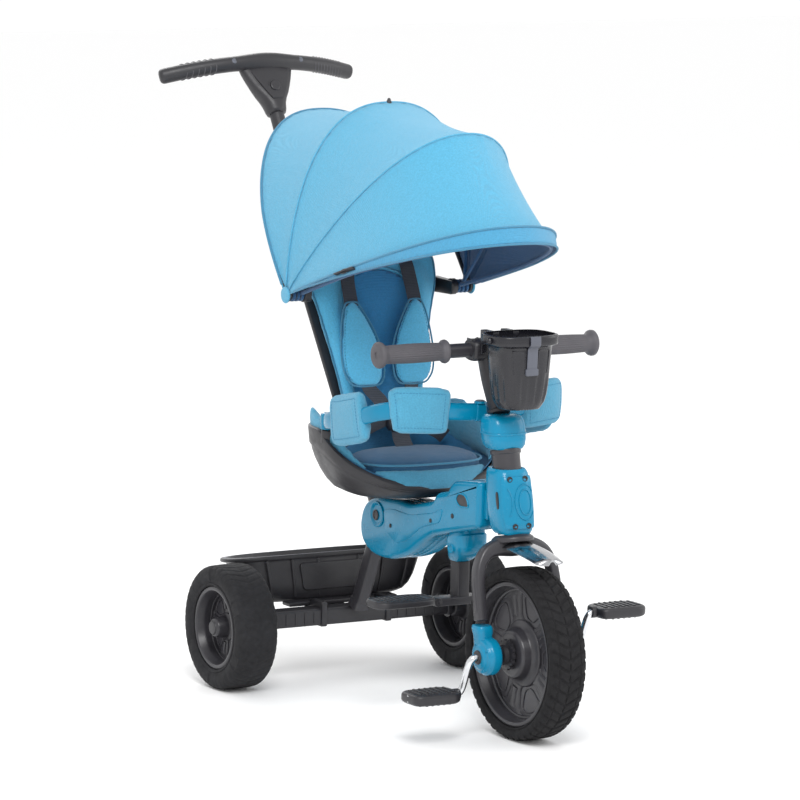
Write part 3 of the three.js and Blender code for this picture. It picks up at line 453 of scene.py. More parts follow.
def sweep(points, section, count=64, sides=24, side_way=UP, ends=0.0, closed=False):
    """A section swept along a smooth line; section(t) gives half width, half height and squareness."""
    line = smooth_line(points, count, closed)
    rings = []
    for i, point in enumerate(line):
        t = i / (count - 1)
        if closed:
            ahead = (line[(i + 1) % count] - line[i - 1]).normalized()
        else:
            ahead = (line[min(i + 1, count - 1)] - line[max(i - 1, 0)]).normalized()
        across = ahead.cross(side_way).normalized()
        tall = across.cross(ahead)
        half_a, half_b, square = section(t)
        rings.append([point + (across * a + tall * b) * MM for a, b in oval(half_a, half_b, square, sides)])
        if i in (0, count - 1) and ends and not closed:
            extra = []
            outward = -ahead if i == 0 else ahead
            for k in range(1, 5):
                angle = math.pi / 2 * k / 4.4
                shrink = ends * (1 - math.cos(angle))
                middle_point = point + outward * (ends * math.sin(angle) * MM)
                pairs = oval(max(half_a - shrink, 0.3), max(half_b - shrink, 0.3), square, sides)
                extra.append([middle_point + (across * a + tall * b) * MM for a, b in pairs])
            if i == 0:
                rings = list(reversed(extra)) + rings
            else:
                rings += extra
    return skin(rings, closed)


def slab(outline, low, high, edge, place, steps=4):
    """An outline given thickness, its edges rounded; place(u, v, w) says where each point goes."""
    count = len(outline)
    area = sum(a[0] * b[1] - b[0] * a[1] for a, b in zip(outline, outline[1:] + outline[:1]))
    turn = 1 if area > 0 else -1
    inward = []
    for i in range(count):
        ahead = Vector(outline[(i + 1) % count]) - Vector(outline[i - 1])
        inward.append(Vector((-ahead.y, ahead.x)).normalized() * turn)
    rings = []
    edge = abs(edge)
    angles = [math.pi / 2 * k / steps for k in range(steps + 1)]
    side = math.copysign(1, high - low)
    ends = [(low + side * edge * (1 - math.sin(a)), edge * (1 - math.cos(a))) for a in reversed(angles)]
    ends += [(high - side * edge * (1 - math.sin(a)), edge * (1 - math.cos(a))) for a in angles]
    for w, inset in ends:
        rings.append([place(u + n.x * inset, v + n.y * inset, w) for (u, v), n in zip(outline, inward)])
    return skin(rings)


def rod(start, end, radius, sides=24, edge=0.8):
    """A round rod between two points, its rims eased."""
    length = (end - start).length / MM
    profile = [(0, radius - edge), (edge * 0.3, radius - edge * 0.3), (edge, radius)]
    profile += [(length - edge, radius), (length - edge * 0.3, radius - edge * 0.3),
                (length, radius - edge)]
    return turned(profile, start, sides, end - start)


def block(low, high, edge=1.5, place=at):
    """A box with rounded edges between two corners, in millimetres."""
    corners = [(low[0], low[1]), (high[0], low[1]), (high[0], high[1]), (low[0], high[1])]
    outline = rounded(corners, edge * 1.6, 4, closed=True)
    return slab(outline, low[2], high[2], edge, place, 3)


def build(name, shapes, material, body, replaces=(), sharp=38):
    """One piece made of one or more closed shapes, smooth but for its sharp edges."""
    vertices, faces = [], []
    for shape_vertices, shape_faces in shapes:
        base = len(vertices)
        vertices += shape_vertices
        faces += [tuple(base + i for i in face) for face in shape_faces]
    mesh = bpy.data.meshes.new(name)
    mesh.from_pydata(vertices, [], faces)
    shape = bmesh.new()
    shape.from_mesh(mesh)
    bmesh.ops.recalc_face_normals(shape, faces=shape.faces)
    shape.to_mesh(mesh)
    shape.free()
    for polygon in mesh.polygons:
        polygon.use_smooth = True
    mesh.set_sharp_from_angle(angle=math.radians(sharp))
    piece = bpy.data.objects.new(name, mesh)
    bpy.context.scene.collection.objects.link(piece)
    mesh.materials.append(material)
    if body:
        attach(piece, body)
    if replaces:
        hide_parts(*replaces)
    return piece


def screw(place, out, radius=3.2):
    """A pan-head screw with a cross recess, standing on a face."""
    head = [(-0.5, radius), (0.6, radius), (1.5, radius * 0.8), (1.9, radius * 0.35)]
    cross = lambda angle, along, r: (-0.9 * max(0, math.cos(2 * angle) ** 2 - 0.8) * 5 if r < radius * 0.85
                                     else 0, 0)
    return turned(head, place, 32, out, wobble=cross)


# ---------------------------------------------------------------- wheels
def tread(angle, along, half, repeats):
    """How deep a V-shaped groove is at a place of the tyre, from 0 on a lug to 1 in a groove."""
    across = abs(along) / half
    turn = (angle / math.tau * repeats + across * 1.1) % 1
    slanted = smoothstep((0.17 - abs(turn - 0.5)) / 0.08)
    ring = smoothstep((0.06 - across) / 0.03)
    edge = smoothstep((0.035 - abs(across - 0.6)) / 0.02) * 0.7
    return max(slanted, ring, edge)


def make_tyre(node, rim_node, body, repeats, sides, groove, material, slots=0):
    """A tyre with its tread cut in, between the rim and the CAD tyre's outer radius."""
    low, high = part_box(node)
    centre = (low + high) / 2
    radius = (high.z - low.z) / 2 / MM
    half = (high.x - low.x) / 2 / MM
    rim_low, rim_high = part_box(rim_node)
    rim = (rim_high.z - rim_low.z) / 2 / MM + 0.2
    wall = radius - rim
    profile = [
        (-half * 0.90, rim),
        (-half * 0.95, rim + wall * 0.06),
        (-half * 0.955, rim + wall * 0.12),
        (-half * 0.92, rim + wall * 0.16),
        (-half * 0.93, rim + wall * 0.2),
        (-half * 0.99, rim + wall * 0.34),
        (-half, rim + wall * 0.5),
        (-half * 0.985, rim + wall * 0.66),
        (-half * 0.93, rim + wall * 0.84),
        (-half * 0.82, radius - 1.9),
        (-half * 0.72, radius - 0.9),
    ]
    crown = [(half * (k / 12 - 1) * 0.72, radius - 0.9 * abs(k / 12 - 1) ** 2) for k in range(1, 24)]
    profile = profile + crown + [(-x, r) for x, r in reversed(profile)]

    def wobble(angle, along, r):
        depth = groove * smoothstep((r - radius + wall * 0.5) / (wall * 0.25))
        sink = -depth * tread(angle, along, half, repeats)
        shift = 0
        if slots and abs(r - rim - wall * 0.5) < wall * 0.2:
            near = abs((angle / math.tau * slots) % 1 - 0.5)
            shift = -math.copysign(1.6, along) * smoothstep((0.13 - near) / 0.02)
        return shift, sink

    shape = turned(profile, centre, sides, closed=True, wobble=wobble)
    build(node + "_tread", [shape], material, body, [node])


def spoke(centre, start, inner, outer, half_angle, half_thick, flare):
    """A spoke between the hub and the rim ring, widening in a curve at both ends."""
    rings = []
    for k in range(17):
        t = k / 16
        radius = lerp(inner, outer, t)
        near_end = max(smoothstep(1 - t / 0.3), smoothstep(1 - (1 - t) / 0.24))
        width = half_angle + flare * near_end ** 2
        ring = []
        for u, v in oval(1, 1, 5, 28):
            angle = start + u * width
            edge = half_thick * (1 - 0.10 * abs(u))
            ring.append(centre + Vector((v * edge, radius * math.cos(angle),
                                         radius * math.sin(angle))) * MM)
        rings.append(ring)
    return skin(rings)


def make_rim(node, body, spokes, hub, hub_half, web, inner, window, band_half, lip):
    """A rim: its band, hub, spokes and closed windows."""
    low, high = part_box(node)
    centre = (low + high) / 2
    radius = (high.z - low.z) / 2 / MM - 0.1
    band = rounded(
        [(-band_half, radius), (band_half, radius), (band_half + lip, radius - 3),
         (band_half + lip, radius - 7),
         (band_half - 4, radius - 9), (band_half - 12, radius - 12), (12 - band_half, radius - 12),
         (4 - band_half, radius - 9), (-band_half - lip, radius - 7), (-band_half - lip, radius - 3)],
        2.2, 3, closed=True,
    )
    ring = turned(band, centre, 120, closed=True)
    face = rounded(
        [(-web - 3, window), (-web - 3, radius - 10), (web + 3, radius - 10), (web + 3, window)], 2.5, 3,
        closed=True,
    )
    outer_ring = turned(face, centre, 120, closed=True)
    hub_profile = rounded(
        [(-hub_half, 2), (-hub_half, hub - 4), (-hub_half + 3, hub), (-web - 6, hub + 3),
         (-web - 3, hub + 8),
         (-web - 1, inner), (web + 1, inner), (web + 3, hub + 8), (web + 6, hub + 3), (hub_half - 3, hub),
         (hub_half, hub - 4), (hub_half, 2)],
        2.5, 3,
    )
    hub_shape = turned(hub_profile, centre, 96)
    pitch = math.tau / spokes
    plate = turned([(-2, hub), (-2, radius - 5), (2, radius - 5), (2, hub)], centre, 96, closed=True)
    parts = [ring, outer_ring, hub_shape, plate]
    # A raised rib follows the edge of each closed window.
    for k in range(spokes):
        for sign in (-1, 1):
            edge = []
            for a, b in oval(1, 1, 3.2, 40):
                angle = (k + 0.5) * pitch + a * (pitch / 2 - 0.36 + 0.07 * b)
                reach = lerp(inner + 4, window - 4, (b + 1) / 2)
                edge.append(centre + Vector((sign * 2.4, reach * math.cos(angle),
                                             reach * math.sin(angle))) * MM)
            parts.append(sweep(edge, steady(1.1, 1.1, 2), 90, 8, X, closed=True))
    for k in range(spokes):
        parts.append(spoke(centre, k * pitch, inner - 4, window + 3, 0.235, web, 0.16))
        parts.append(spoke(centre, k * pitch, inner + 6, window - 6, 0.10, web + 2.2, 0.03))
    build(node + "_spoked", parts, DARK_SATIN, body, [node])


def make_wheels():
    """The three wheels, with the front wheel's toothed hub and the rear hub caps."""
    # The front tyre takes the darker foam, which is painted shade.
    make_tyre("front_tyre", "front_rim", "front_wheel", 46, 736, 2.0, FRONT_PAINTED_SHADE_FOAM)
    make_rim("front_rim", "front_wheel", 5, 37, 27, 5, 52, 96, 25, 1.5)
    centre = middle("front_tyre")
    teeth = lambda angle, along, r: (0, 1.9 * smoothstep(math.cos(angle * 14) * 2 + 0.5) if r > 21.5 else 0)
    for sign in (-1, 1):
        gear = [(28, 8), (30, 19.5), (30.5, 22), (35.5, 22), (36.5, 20), (37, 16), (44, 15), (45.5, 13),
                (45.6, 6)]
        build(
            "drive_gear_" + ("left" if sign > 0 else "right"),
            [turned([(sign * a, r) for a, r in gear], centre, 168, wobble=teeth)],
            GREY_SHELL if sign > 0 else DARK_SHELL, "front_wheel",
            ["drive_hub"] if sign > 0 else (),
        )
    for name, sign in SIDES.items():
        body = "rear_wheel_" + name
        make_tyre("rear_tyre_" + name, "rear_rim_" + name, body, 44, 616, 0.7, TYRE_FOAM, slots=6)
        make_rim("rear_rim_" + name, body, 5, 15, 33, 5, 22, 54, 30, 1.5)
        hub = middle("rear_tyre_" + name)
        cap = [(30, 12), (33, 11.5), (34.5, 10), (34.8, 7), (34.9, 0.5)]
        nut = [(34, 5.5), (38, 5.5), (39.5, 4.2), (40, 0.4)]
        build("hub_cap_" + name, [turned([(sign * a, r) for a, r in cap], hub, 48)], DARK_SHELL, body)
        build("axle_nut_" + name, [turned([(sign * (a - 5.5), r) for a, r in nut], hub, 36)], CHROME, body)


# ---------------------------------------------------------------- crank, pedals, fork and steering
RAKE = math.atan2(JOINTS["steering_turn"]["axis"][1], JOINTS["steering_turn"]["axis"][2])
PIVOT = Vector(JOINTS["steering_turn"]["pos_m"])
LEAN = Vector((0, math.sin(RAKE), math.cos(RAKE)))


def steering_y(z):
    """Where the steering axis passes at a height, in millimetres from the front axle."""
    return (PIVOT.y - AXLE.y) / MM + (z - PIVOT.z / MM) * math.tan(RAKE)


def on_stem(x, ahead, z):
    """A point near the steering axis: across, behind the axis, and its height."""
    return at(x, steering_y(z) + ahead, z)


def leant(x, depth, z):
    """A point of the fork, drawn upright and leant back with the steering axis."""
    out = Vector((0, math.cos(RAKE), -math.sin(RAKE)))
    return PIVOT + Vector((x * MM, 0, 0)) + out * depth * MM + LEAN * (z - PIVOT.z / MM) * MM


def make_crank():
    """The one-piece crank, bent from a rod."""
    hub = AXLE.z / MM
    arm = [(198, -13, 57), (160, -13, 57), (124, -13, 57), (113, -13, 57), (104, -11.7, 48),
           (98, -3.25, 12), (94, -0.65, 3), (87, 0, 0), (60, 0, 0)]
    line = [at(x, y, hub + z) for x, y, z in arm]
    line += [at(0, 0, hub)] + [at(-x, -y, hub - z) for x, y, z in reversed(arm)]
    build("crank_rod", [sweep(line, steady(5.5, 5.5, 2), 220, 24, Y, ends=0.8)], CHROME, "crank",
          ["crank"])


def make_pedal(name, sign):
    """A pedal: a ribbed block on a spindle."""
    low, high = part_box("pedal_" + name)
    centre = (low + high) / 2
    half_x = (high.x - low.x) / 2 / MM
    half_y = (high.y - low.y) / 2 / MM
    half_z = (high.z - low.z) / 2 / MM
    place = lambda u, v, w: centre + Vector((u, v, w)) * MM
    corner = 15
    outline = rounded([(-half_x, -half_y + 3), (half_x * 0.7, -half_y), (half_x, -half_y + 12),
                       (half_x, half_y - 12), (half_x * 0.7, half_y), (-half_x, half_y - 3)], corner, 6,
                       closed=True)
    parts = [slab(outline, -half_z + 3, half_z - 3, 5, place)]
    rim = [(u * 0.93, v * 0.9) for u, v in outline]
    for side in (-1, 1):
        for k in range(7):
            along = lerp(-0.7, 0.72, k / 6) * half_x
            reach = half_y * (0.72 if abs(along) < half_x * 0.6 else 0.6)
            ends = rounded([(along - 2.2, -reach), (along + 2.2, -reach), (along + 2.2, reach),
                            (along - 2.2, reach)],
                           2.0, 3, closed=True)
            parts.append(slab(ends, side * (half_z - 5), side * (half_z - 0.9), 1.0 * side, place, 2))
        tops = slab(rim, side * (half_z - 5.5), side * (half_z - 2.6), 1.2 * side, place, 2)
        parts.append(tops)
    parts.append(rod(place(-sign * (half_x + 6), 0, 0), place(0, 0, 0), 9, 28))
    build("pedal_" + name + "_block", parts, DARK_SHELL, "pedal_" + name, ["pedal_" + name])


def make_fork():
    """The fork: two legs and a crown in one arch."""
    low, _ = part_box("fork")
    foot = low.z / MM + 3
    line = [(-68, foot), (-68, 215), (-67.4, 240), (-63, 265), (-50, 284), (-28, 292), (0, 292.5)]
    line += [(-x, z) for x, z in reversed(line[:-1])]
    points = [leant(x, 0, z) for x, z in line]

    def section(t):
        crown = smoothstep(1 - abs(t - 0.5) / 0.24)
        return 8.5 + 7.5 * crown, 11 + 1.5 * crown, 3.4

    arch = sweep(points, section, 140, 32, Vector((0, math.cos(RAKE), -math.sin(RAKE))), ends=2)
    # The bar's outline runs down each leg's outer face as a raised rib.
    parts = [arch]
    for sign in (-1, 1):
        rib = [leant(sign * (x + 8.2), 0, z) for x, z in ((68, foot + 12), (68, 215), (67.2, 240),
                                                          (62.5, 262))]
        parts.append(sweep(rib, lambda t: (1.4, 5.5 * (1 - 0.4 * t), 3), 40, 16, Vector((0, 1, 0)), ends=1))
    parts.append(turned(rounded([(0, 22), (0, 33), (7, 33), (12, 26), (12, 22)], 2.5), leant(0, 0, 298), 64,
                        LEAN))
    build("fork_arch", parts, DARK_SATIN, "steering", ["fork"])


def make_fork_cap(name, sign):
    """The glossy cap at the foot of a fork leg."""
    centre = at(sign * 55, 0, AXLE.z / MM)
    profile = rounded([(0.5, 2), (0.5, 27), (5, 29), (17, 29), (21, 26), (24.5, 25), (25, 20), (28.5, 17),
                       (29, 9)], 2.5, 4)
    dome = turned([(sign * a, r) for a, r in profile] + [(sign * 29, 6.2), (sign * 26, 6.1)], centre, 72)
    collar = []
    top = 179
    for z, size in ((142, 1), (165, 1), (168, 1.07), (174, 1.1), (177, 1.07), (top, 0.98)):
        collar.append([on_stem(sign * 68 + a * size, b * size - 2, z)
                       for a, b in oval(12.6, 13.6, 3.4, 36)])
    parts = [dome, skin(collar)]
    for angle in (0.9, 2.6, 4.4):
        spot = centre + Vector((sign * 24.6, 22.5 * math.cos(angle), 22.5 * math.sin(angle))) * MM
        parts.append(screw(spot, Vector((sign, 0, 0)), 2.0))
    build("dropout_cap_" + name, parts, BLUE_SHELL, "steering", ["fork_cap_" + name])
    washer = rounded([(26.5, 6.0), (26.5, 11), (30.4, 11), (31.2, 9.5), (31.2, 6.0)], 0.8, 3)
    build("dropout_washer_" + name, [turned([(sign * a, r) for a, r in washer], centre, 48, closed=True)],
          DARK_SHELL, "steering")


def make_mudguard():
    """The mudguard's short plated blade."""
    low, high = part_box("mudguard")
    front, back = (low.y - AXLE.y) / MM, (high.y - AXLE.y) / MM
    top = high.z / MM
    rings = []
    for k in range(33):
        t = k / 32
        y = lerp(back, front, t)
        z = top - 1.6 - 3 * t - 11 * t * t
        half = (30 - 6 * t * t) * math.sqrt(clamp(1 - ((t - 0.9) / 0.104) ** 2 if t > 0.9 else 1, 0.04, 1))
        ring = []
        for s, side in [(-1 + 2 * i / 12, 1) for i in range(13)] + [(1 - 2 * i / 12, -1)
                                                                    for i in range(13)]:
            edge = 1.5 * math.sqrt(max(0.05, 1 - abs(s) ** 6))
            ring.append(at(s * half, y,
                           z - 7 * s * s + side * edge + 1.2 * (1 - smoothstep(abs(abs(s) - 0.55) / 0.1))))
        rings.append(ring)
    build("mudguard_blade", [skin(rings)], BLADE_PLATE, "steering", ["mudguard"], sharp=50)


def make_steering():
    """The stem tube and the glossy boot above it."""
    stem = turned(rounded([(0, 20), (0, 22), (122, 22), (124, 24), (130, 24), (131, 20)], 0.8),
                  on_stem(0, 0, 311), 72, LEAN)
    build("stem_tube", [stem], DARK_SATIN, "steering", ["steering_stem"])
    low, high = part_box("steering_boot")
    centre_y = ((low.y + high.y) / 2 - AXLE.y) / MM
    base, top = low.z / MM, high.z / MM
    levels = [(0, 0.80), (0.02, 0.86), (0.06, 0.9), (0.12, 0.97), (0.3, 1.03), (0.5, 1.04), (0.7, 1.03),
              (0.84, 0.99), (0.93, 0.92), (0.98, 0.82), (1, 0.72)]
    rings = []
    for t, size in levels:
        z = lerp(base, top, t)
        shift = (z - (base + top) / 2) * math.tan(RAKE)
        rings.append([at(a * size, centre_y + shift * 0.9 + b * size, z) for a, b in oval(31.5, 27, 3, 64)])
    seam = [on_stem(a, b + 2.0, 464) for a, b in oval(33.0, 28.6, 3, 64)]
    parts = [skin(rings), sweep(seam, steady(0.8, 1.6, 3), 160, 10, closed=True)]
    build("steering_boot_shell", parts, BLUE_SHELL, "steering", ["steering_boot"])
    make_handlebar()
    make_basket()


def make_handlebar():
    """The handlebar, its clamp and neck, and the grips."""
    low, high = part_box("handlebar")
    bar = (low + high) / 2
    y, z = (bar.y - AXLE.y) / MM, bar.z / MM
    half = (high.x - low.x) / 2 / MM
    build("handlebar_tube", [rod(at(-half, y, z), at(half, y, z), 11, 48)], DARK_SATIN, "steering",
          ["handlebar"])
    clamp_rings = []
    for x, size in ((-31, 0.8), (-30, 0.9), (-27, 0.985), (-22, 1), (22, 1), (27, 0.985), (30, 0.9),
                    (31, 0.8)):
        clamp_rings.append([at(x, y - 1 + a * size, z + b * size) for a, b in oval(19, 17, 3, 48)])
    neck = [at(0, 90, 493), at(0, 101, 515), at(0, 115, 543), at(0, y - 4, z - 8)]
    parts = [skin(clamp_rings), sweep(neck, lambda t: (14 + 2 * t, 14 + 1.5 * t, 2.3), 40, 40, X)]
    parts.append(turned(rounded([(0, 10), (0, 17.5), (5, 18.5), (8, 15), (8, 10)], 1.6), at(0, 88.6, 490.5),
                        56, at(0, 115, 543) - at(0, 90, 493)))
    for x in (-19, 19):
        parts.append(screw(at(x, y - 3, z + 16.8), UP, 3.4))
        for dx in (-1, 1):
            parts.append(block((x + dx * 8.5 - 0.8, y - 12, z + 13), (x + dx * 8.5 + 0.8, y + 12, z + 17.6),
                               0.4))
    build("handlebar_clamp", parts, DARK_SHELL, "steering", ["handlebar_stem"])
    for name, sign in SIDES.items():
        make_grip(name, sign, y, z)


def make_grip(name, sign, y, z):
    """A grip with flanged ends and fine lengthwise flutes."""
    low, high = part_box("grip_" + name)
    start = min(abs(low.x), abs(high.x)) / MM
    end = max(abs(low.x), abs(high.x)) / MM
    profile = [(start, 11.6), (start, 15.5), (start + 1, 17.6), (start + 3, 18.5), (start + 5.5, 18),
               (start + 8, 15.5), (start + 10, 14.2)]
    first, last = start + 12, end - 18
    for k in range(25):
        t = k / 24
        profile.append((lerp(first, last, t), 14.0 + 1.2 * math.sin(math.pi * t)))
    profile += [(end - 16, 14.2), (end - 12, 16.5), (end - 9, 19.6), (end - 6, 20.5), (end - 3, 20.2),
                (end - 1, 18), (end - 0.2, 14), (end, 9), (end - 0.4, 5), (end - 1.6, 4.6), (end - 1.8, 1)]

    def flutes(angle, along, radius):
        inside = smoothstep((abs(along) - first) / 3) * smoothstep((last - abs(along)) / 3)
        return 0, -0.7 * inside * (0.5 + 0.5 * math.cos(angle * 26)) ** 2

    shape = turned([(sign * x, r) for x, r in profile], at(0, y, z), 208, wobble=flutes)
    build("handle_grip_" + name, [shape], GRIP_RUBBER, "steering", ["grip_" + name],
          sharp=60)


def make_basket():
    """The basket: a fluted bucket with a rim, a bracket and a strap."""
    low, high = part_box("basket")
    top, floor = high.z / MM, low.z / MM
    half_x = (high.x - low.x) / 2 / MM
    y = (low.y - AXLE.y) / MM + 44
    levels = [(0, 30, 23), (0.015, 31.5, 24.5), (0.05, 34, 26.5), (0.1, 37.5, 29.5), (0.2, 40.5, 32),
              (0.33, 42.5, 33.6),
              (0.6, 44.7, 35.3), (0.835, 46.8, 36.8), (0.85, 48.5, 38.2), (0.862, 52, 41),
              (0.872, half_x - 0.6, 43.4),
              (0.885, half_x, 44), (0.985, half_x, 44), (0.995, half_x - 0.6, 43.4),
              (1, half_x - 1.6, 42.4)]

    def ring(t, a, b, flutes, inside=0.0):
        z = lerp(floor, top, t)
        made = []
        for u, v in oval(a - inside, b - inside, 3.2, 144):
            angle = math.atan2(v, u)
            depth = 0
            if flutes and 0.07 < t < 0.84:
                wave = max(0, math.cos(angle * 16)) ** 0.7
                fade = smoothstep((t - 0.07) / 0.08) * smoothstep((0.46 - t) / 0.06)
                depth = 2.3 * wave * fade
            size = Vector((u, v)).length
            made.append(at(u * (1 - depth / size), y + v * (1 - depth / size), z))
        return made

    outer = []
    for (t0, a0, b0), (t1, a1, b1) in zip(levels, levels[1:]):
        for k in range(3 if t1 - t0 > 0.05 else 1):
            s = k / (3 if t1 - t0 > 0.05 else 1)
            outer.append(ring(lerp(t0, t1, s), lerp(a0, a1, s), lerp(b0, b1, s), True))
    outer.append(ring(*levels[-1], False))
    inner = [ring(max(t, 0.027), a, b, False, 2.8) for t, a, b in reversed(levels) if t > 0.86 or t < 0.84]
    parts = [skin(outer + inner)]
    for side in (-1, 1):
        hook = rounded([(y + 40, top - 24), (y + 40, top - 2), (111, top - 2), (111, top - 40),
                        (106, top - 40), (106, top - 24)], 2, 3, closed=True)
        parts.append(slab(hook, side * 18 - 5.5, side * 18 + 5.5, 1.0, from_side))
    for side in (-1, 1):
        knob = rounded([(0, 1), (0, 4.5), (3, 5.5), (6, 4), (6.4, 1)], 1.2)
        parts.append(turned(knob, at(side * (half_x - 0.8), y - 6, top - 8), 28, (side, 0, 0)))
    build("basket_bucket", parts, BASKET_SHELL, "steering", ["basket"], sharp=50)
    strap = []
    for t, out in ((0.47, 0), (0.5, 0), (0.6, 0), (0.7, 0), (0.83, 0.3), (0.89, 0.5), (1.0, 0.2)):
        depth = lerp(30.5, 37, clamp(t / 0.83)) if t < 0.85 else 44.2
        strap.append(at(0, y - depth - 1.6 - out, lerp(floor, top, t)))
    band = sweep(strap, steady(9, 1.1, 6), 50, 24, Y)
    loop = rounded([(-11, 572), (11, 572), (11, 561), (-11, 561)], 3, 4, closed=True)
    clip = slab(loop, y - 38.6, y - 33.4, 1.2, from_front)
    build("basket_strap", [band, clip], GREY_SHELL, "steering")
    # A raised frame stands on each half of the front wall, and on each half of the back wall.
    frames = []
    for face in (-1, 1):
        for side in (-1, 1):
            line = []
            for u, v in rounded([(12, 0.5), (30, 0.5), (33, 0.8), (12, 0.8)], 3, 4, closed=True):
                depth = lerp(33.2, 36.6, (v - 0.5) / 0.3) * (1 - (abs(u) / 47) ** 3.2) ** (1 / 3.2)
                line.append(at(side * u, y + face * (depth + 0.3), lerp(floor, top, v)))
            frames.append(sweep(line, steady(0.9, 0.9, 2), 70, 8, Y, closed=True))
    build("basket_frames", frames, BASKET_SHELL, "steering")


# ---------------------------------------------------------------- frame, footrests and rear
def frame_outline():
    """The housing seen from the side, from the head block back to the bulb."""
    points = [(92, 313), (90, 386), (150, 380), (168, 377), (180, 369), (187, 358), (222, 350), (232, 336),
              (300, 320),
              (338, 321), (405, 316), (425, 312), (442, 303), (453, 289), (459, 268), (457, 250),
              (447, 236), (430, 226),
              (412, 222), (392, 221), (360, 223), (330, 231), (306, 240), (285, 252), (262, 266),
              (232, 281), (190, 291)]
    return rounded(points, 9, 4, closed=True)


def make_main_frame():
    """The blue housing, in two halves with a seam, its trim and its fittings, with dark slabs in its
    openings painted as their shade.
    """
    low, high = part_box("main_frame")
    half = (high.x - low.x) / 2 / MM
    outline = frame_outline()
    place = from_side
    parts = [slab(outline, 0.35, half, 9, place, 6), slab(outline, -half, -0.35, 9, place, 6)]
    parts.append(slab([(u * 0.985 + 4.2, v * 0.985 + 4.5) for u, v in outline], -6, 6, 1, place))
    # The neck that joins the housing to the head block, behind the stem.
    parts.append(slab([(83, 328), (108, 328), (108, 374), (83, 374)], -22, 22, 3, place))
    detail, dark = [], []
    for sign in (-1, 1):
        face = sign * (half - 0.2)
        out = Vector((sign, 0, 0))
        # A raised panel runs along the side, from the seat block to the bulb.
        panel = rounded([(196, 330), (226, 318), (298, 304), (352, 306), (382, 300), (372, 268), (340, 252),
                         (306, 262), (262, 290), (206, 305)], 10, 5, closed=True)
        detail.append(slab(panel, face - sign * 1.2, face + sign * 1.3, sign * 1.1, place))
        # The round cover on the bulb, its dished middle dark.
        disc = [(0, 2), (0, 19.5), (1.2, 21), (2.6, 20.4), (3, 18.4), (1.4, 15.6), (0.2, 14), (0.1, 1)]
        detail.append(turned([(sign * a, r) for a, r in rounded(disc, 0.6, 2)], at(face, 400, 290), 72))
        dark.append(turned([(sign * 0.1, 1), (sign * 0.1, 8.5), (sign * 1.9, 8.5), (sign * 2.2, 6.6),
                            (sign * 1.2, 5.6), (sign * 1.1, 0.5)],
                           at(face, 404, 288), 40))
        # Vent slits under the bulb, each a dark slab painted as the shade in it, and a screw behind the
        # head.
        for k in range(4):
            slit = rounded([(368 + 13 * k, 236 - k), (375 + 13 * k, 236 - k), (377 + 13 * k, 241 - k),
                            (370 + 13 * k, 241 - k)],
                           2, 3, closed=True)
            dark.append(slab(slit, face - sign * 3.2, face - sign * 0.2, sign * 0.3, place))
        # A raised oval ring, with a dark slab inside it painted as the shade in the opening.
        hand = rounded([(118, 342), (128, 360), (150, 361), (160, 350), (148, 340)], 9, 5, closed=True)
        ring_line = [at(sign * (half + 0.2), u, v) for u, v in hand]
        detail.append(sweep(ring_line, steady(1.4, 1.4, 2), 120, 10, UP, closed=True))
        dark.append(slab(hand, face - sign * 1.0, face + sign * 0.35, sign * 0.2, place))
        dark.append(screw(at(face + sign * 0.1, 168, 322), out, 4))
        dark.append(screw(at(face + sign * 1.2, 232, 305), out, 3.4))
        dark.append(screw(at(face + sign * 1.2, 356, 278), out, 3.4))
        # A lower rail follows the belly of the frame.
        rail = [at(sign * (half - 3.5), u, v) for u, v in
                ((196, 299), (235, 288), (268, 272), (292, 256), (316, 243), (345, 233), (385, 229),
                 (420, 231), (444, 246))]
        detail.append(sweep(rail, steady(2.4, 3.0, 2.4), 90, 14, out, ends=1.5))
    build("frame_shell", parts, BLUE_SHELL, "frame", ["main_frame"])
    build("frame_trim", detail, BLUE_SHELL, "frame")
    # The dark pieces: the screws and the bulb's dished middle, and the slabs painted as shade in the vent
    # slits and the oval opening.
    build("frame_fittings_and_painted_shade", dark, DARK_SHELL, "frame")


def head_face(x, z, lift):
    """A point on the head block's front, lifted a little off it."""
    depth = 31 * (1 - (abs(x) / 32) ** 3.2) ** (1 / 3.2)
    return on_stem(x, -depth - lift, z)


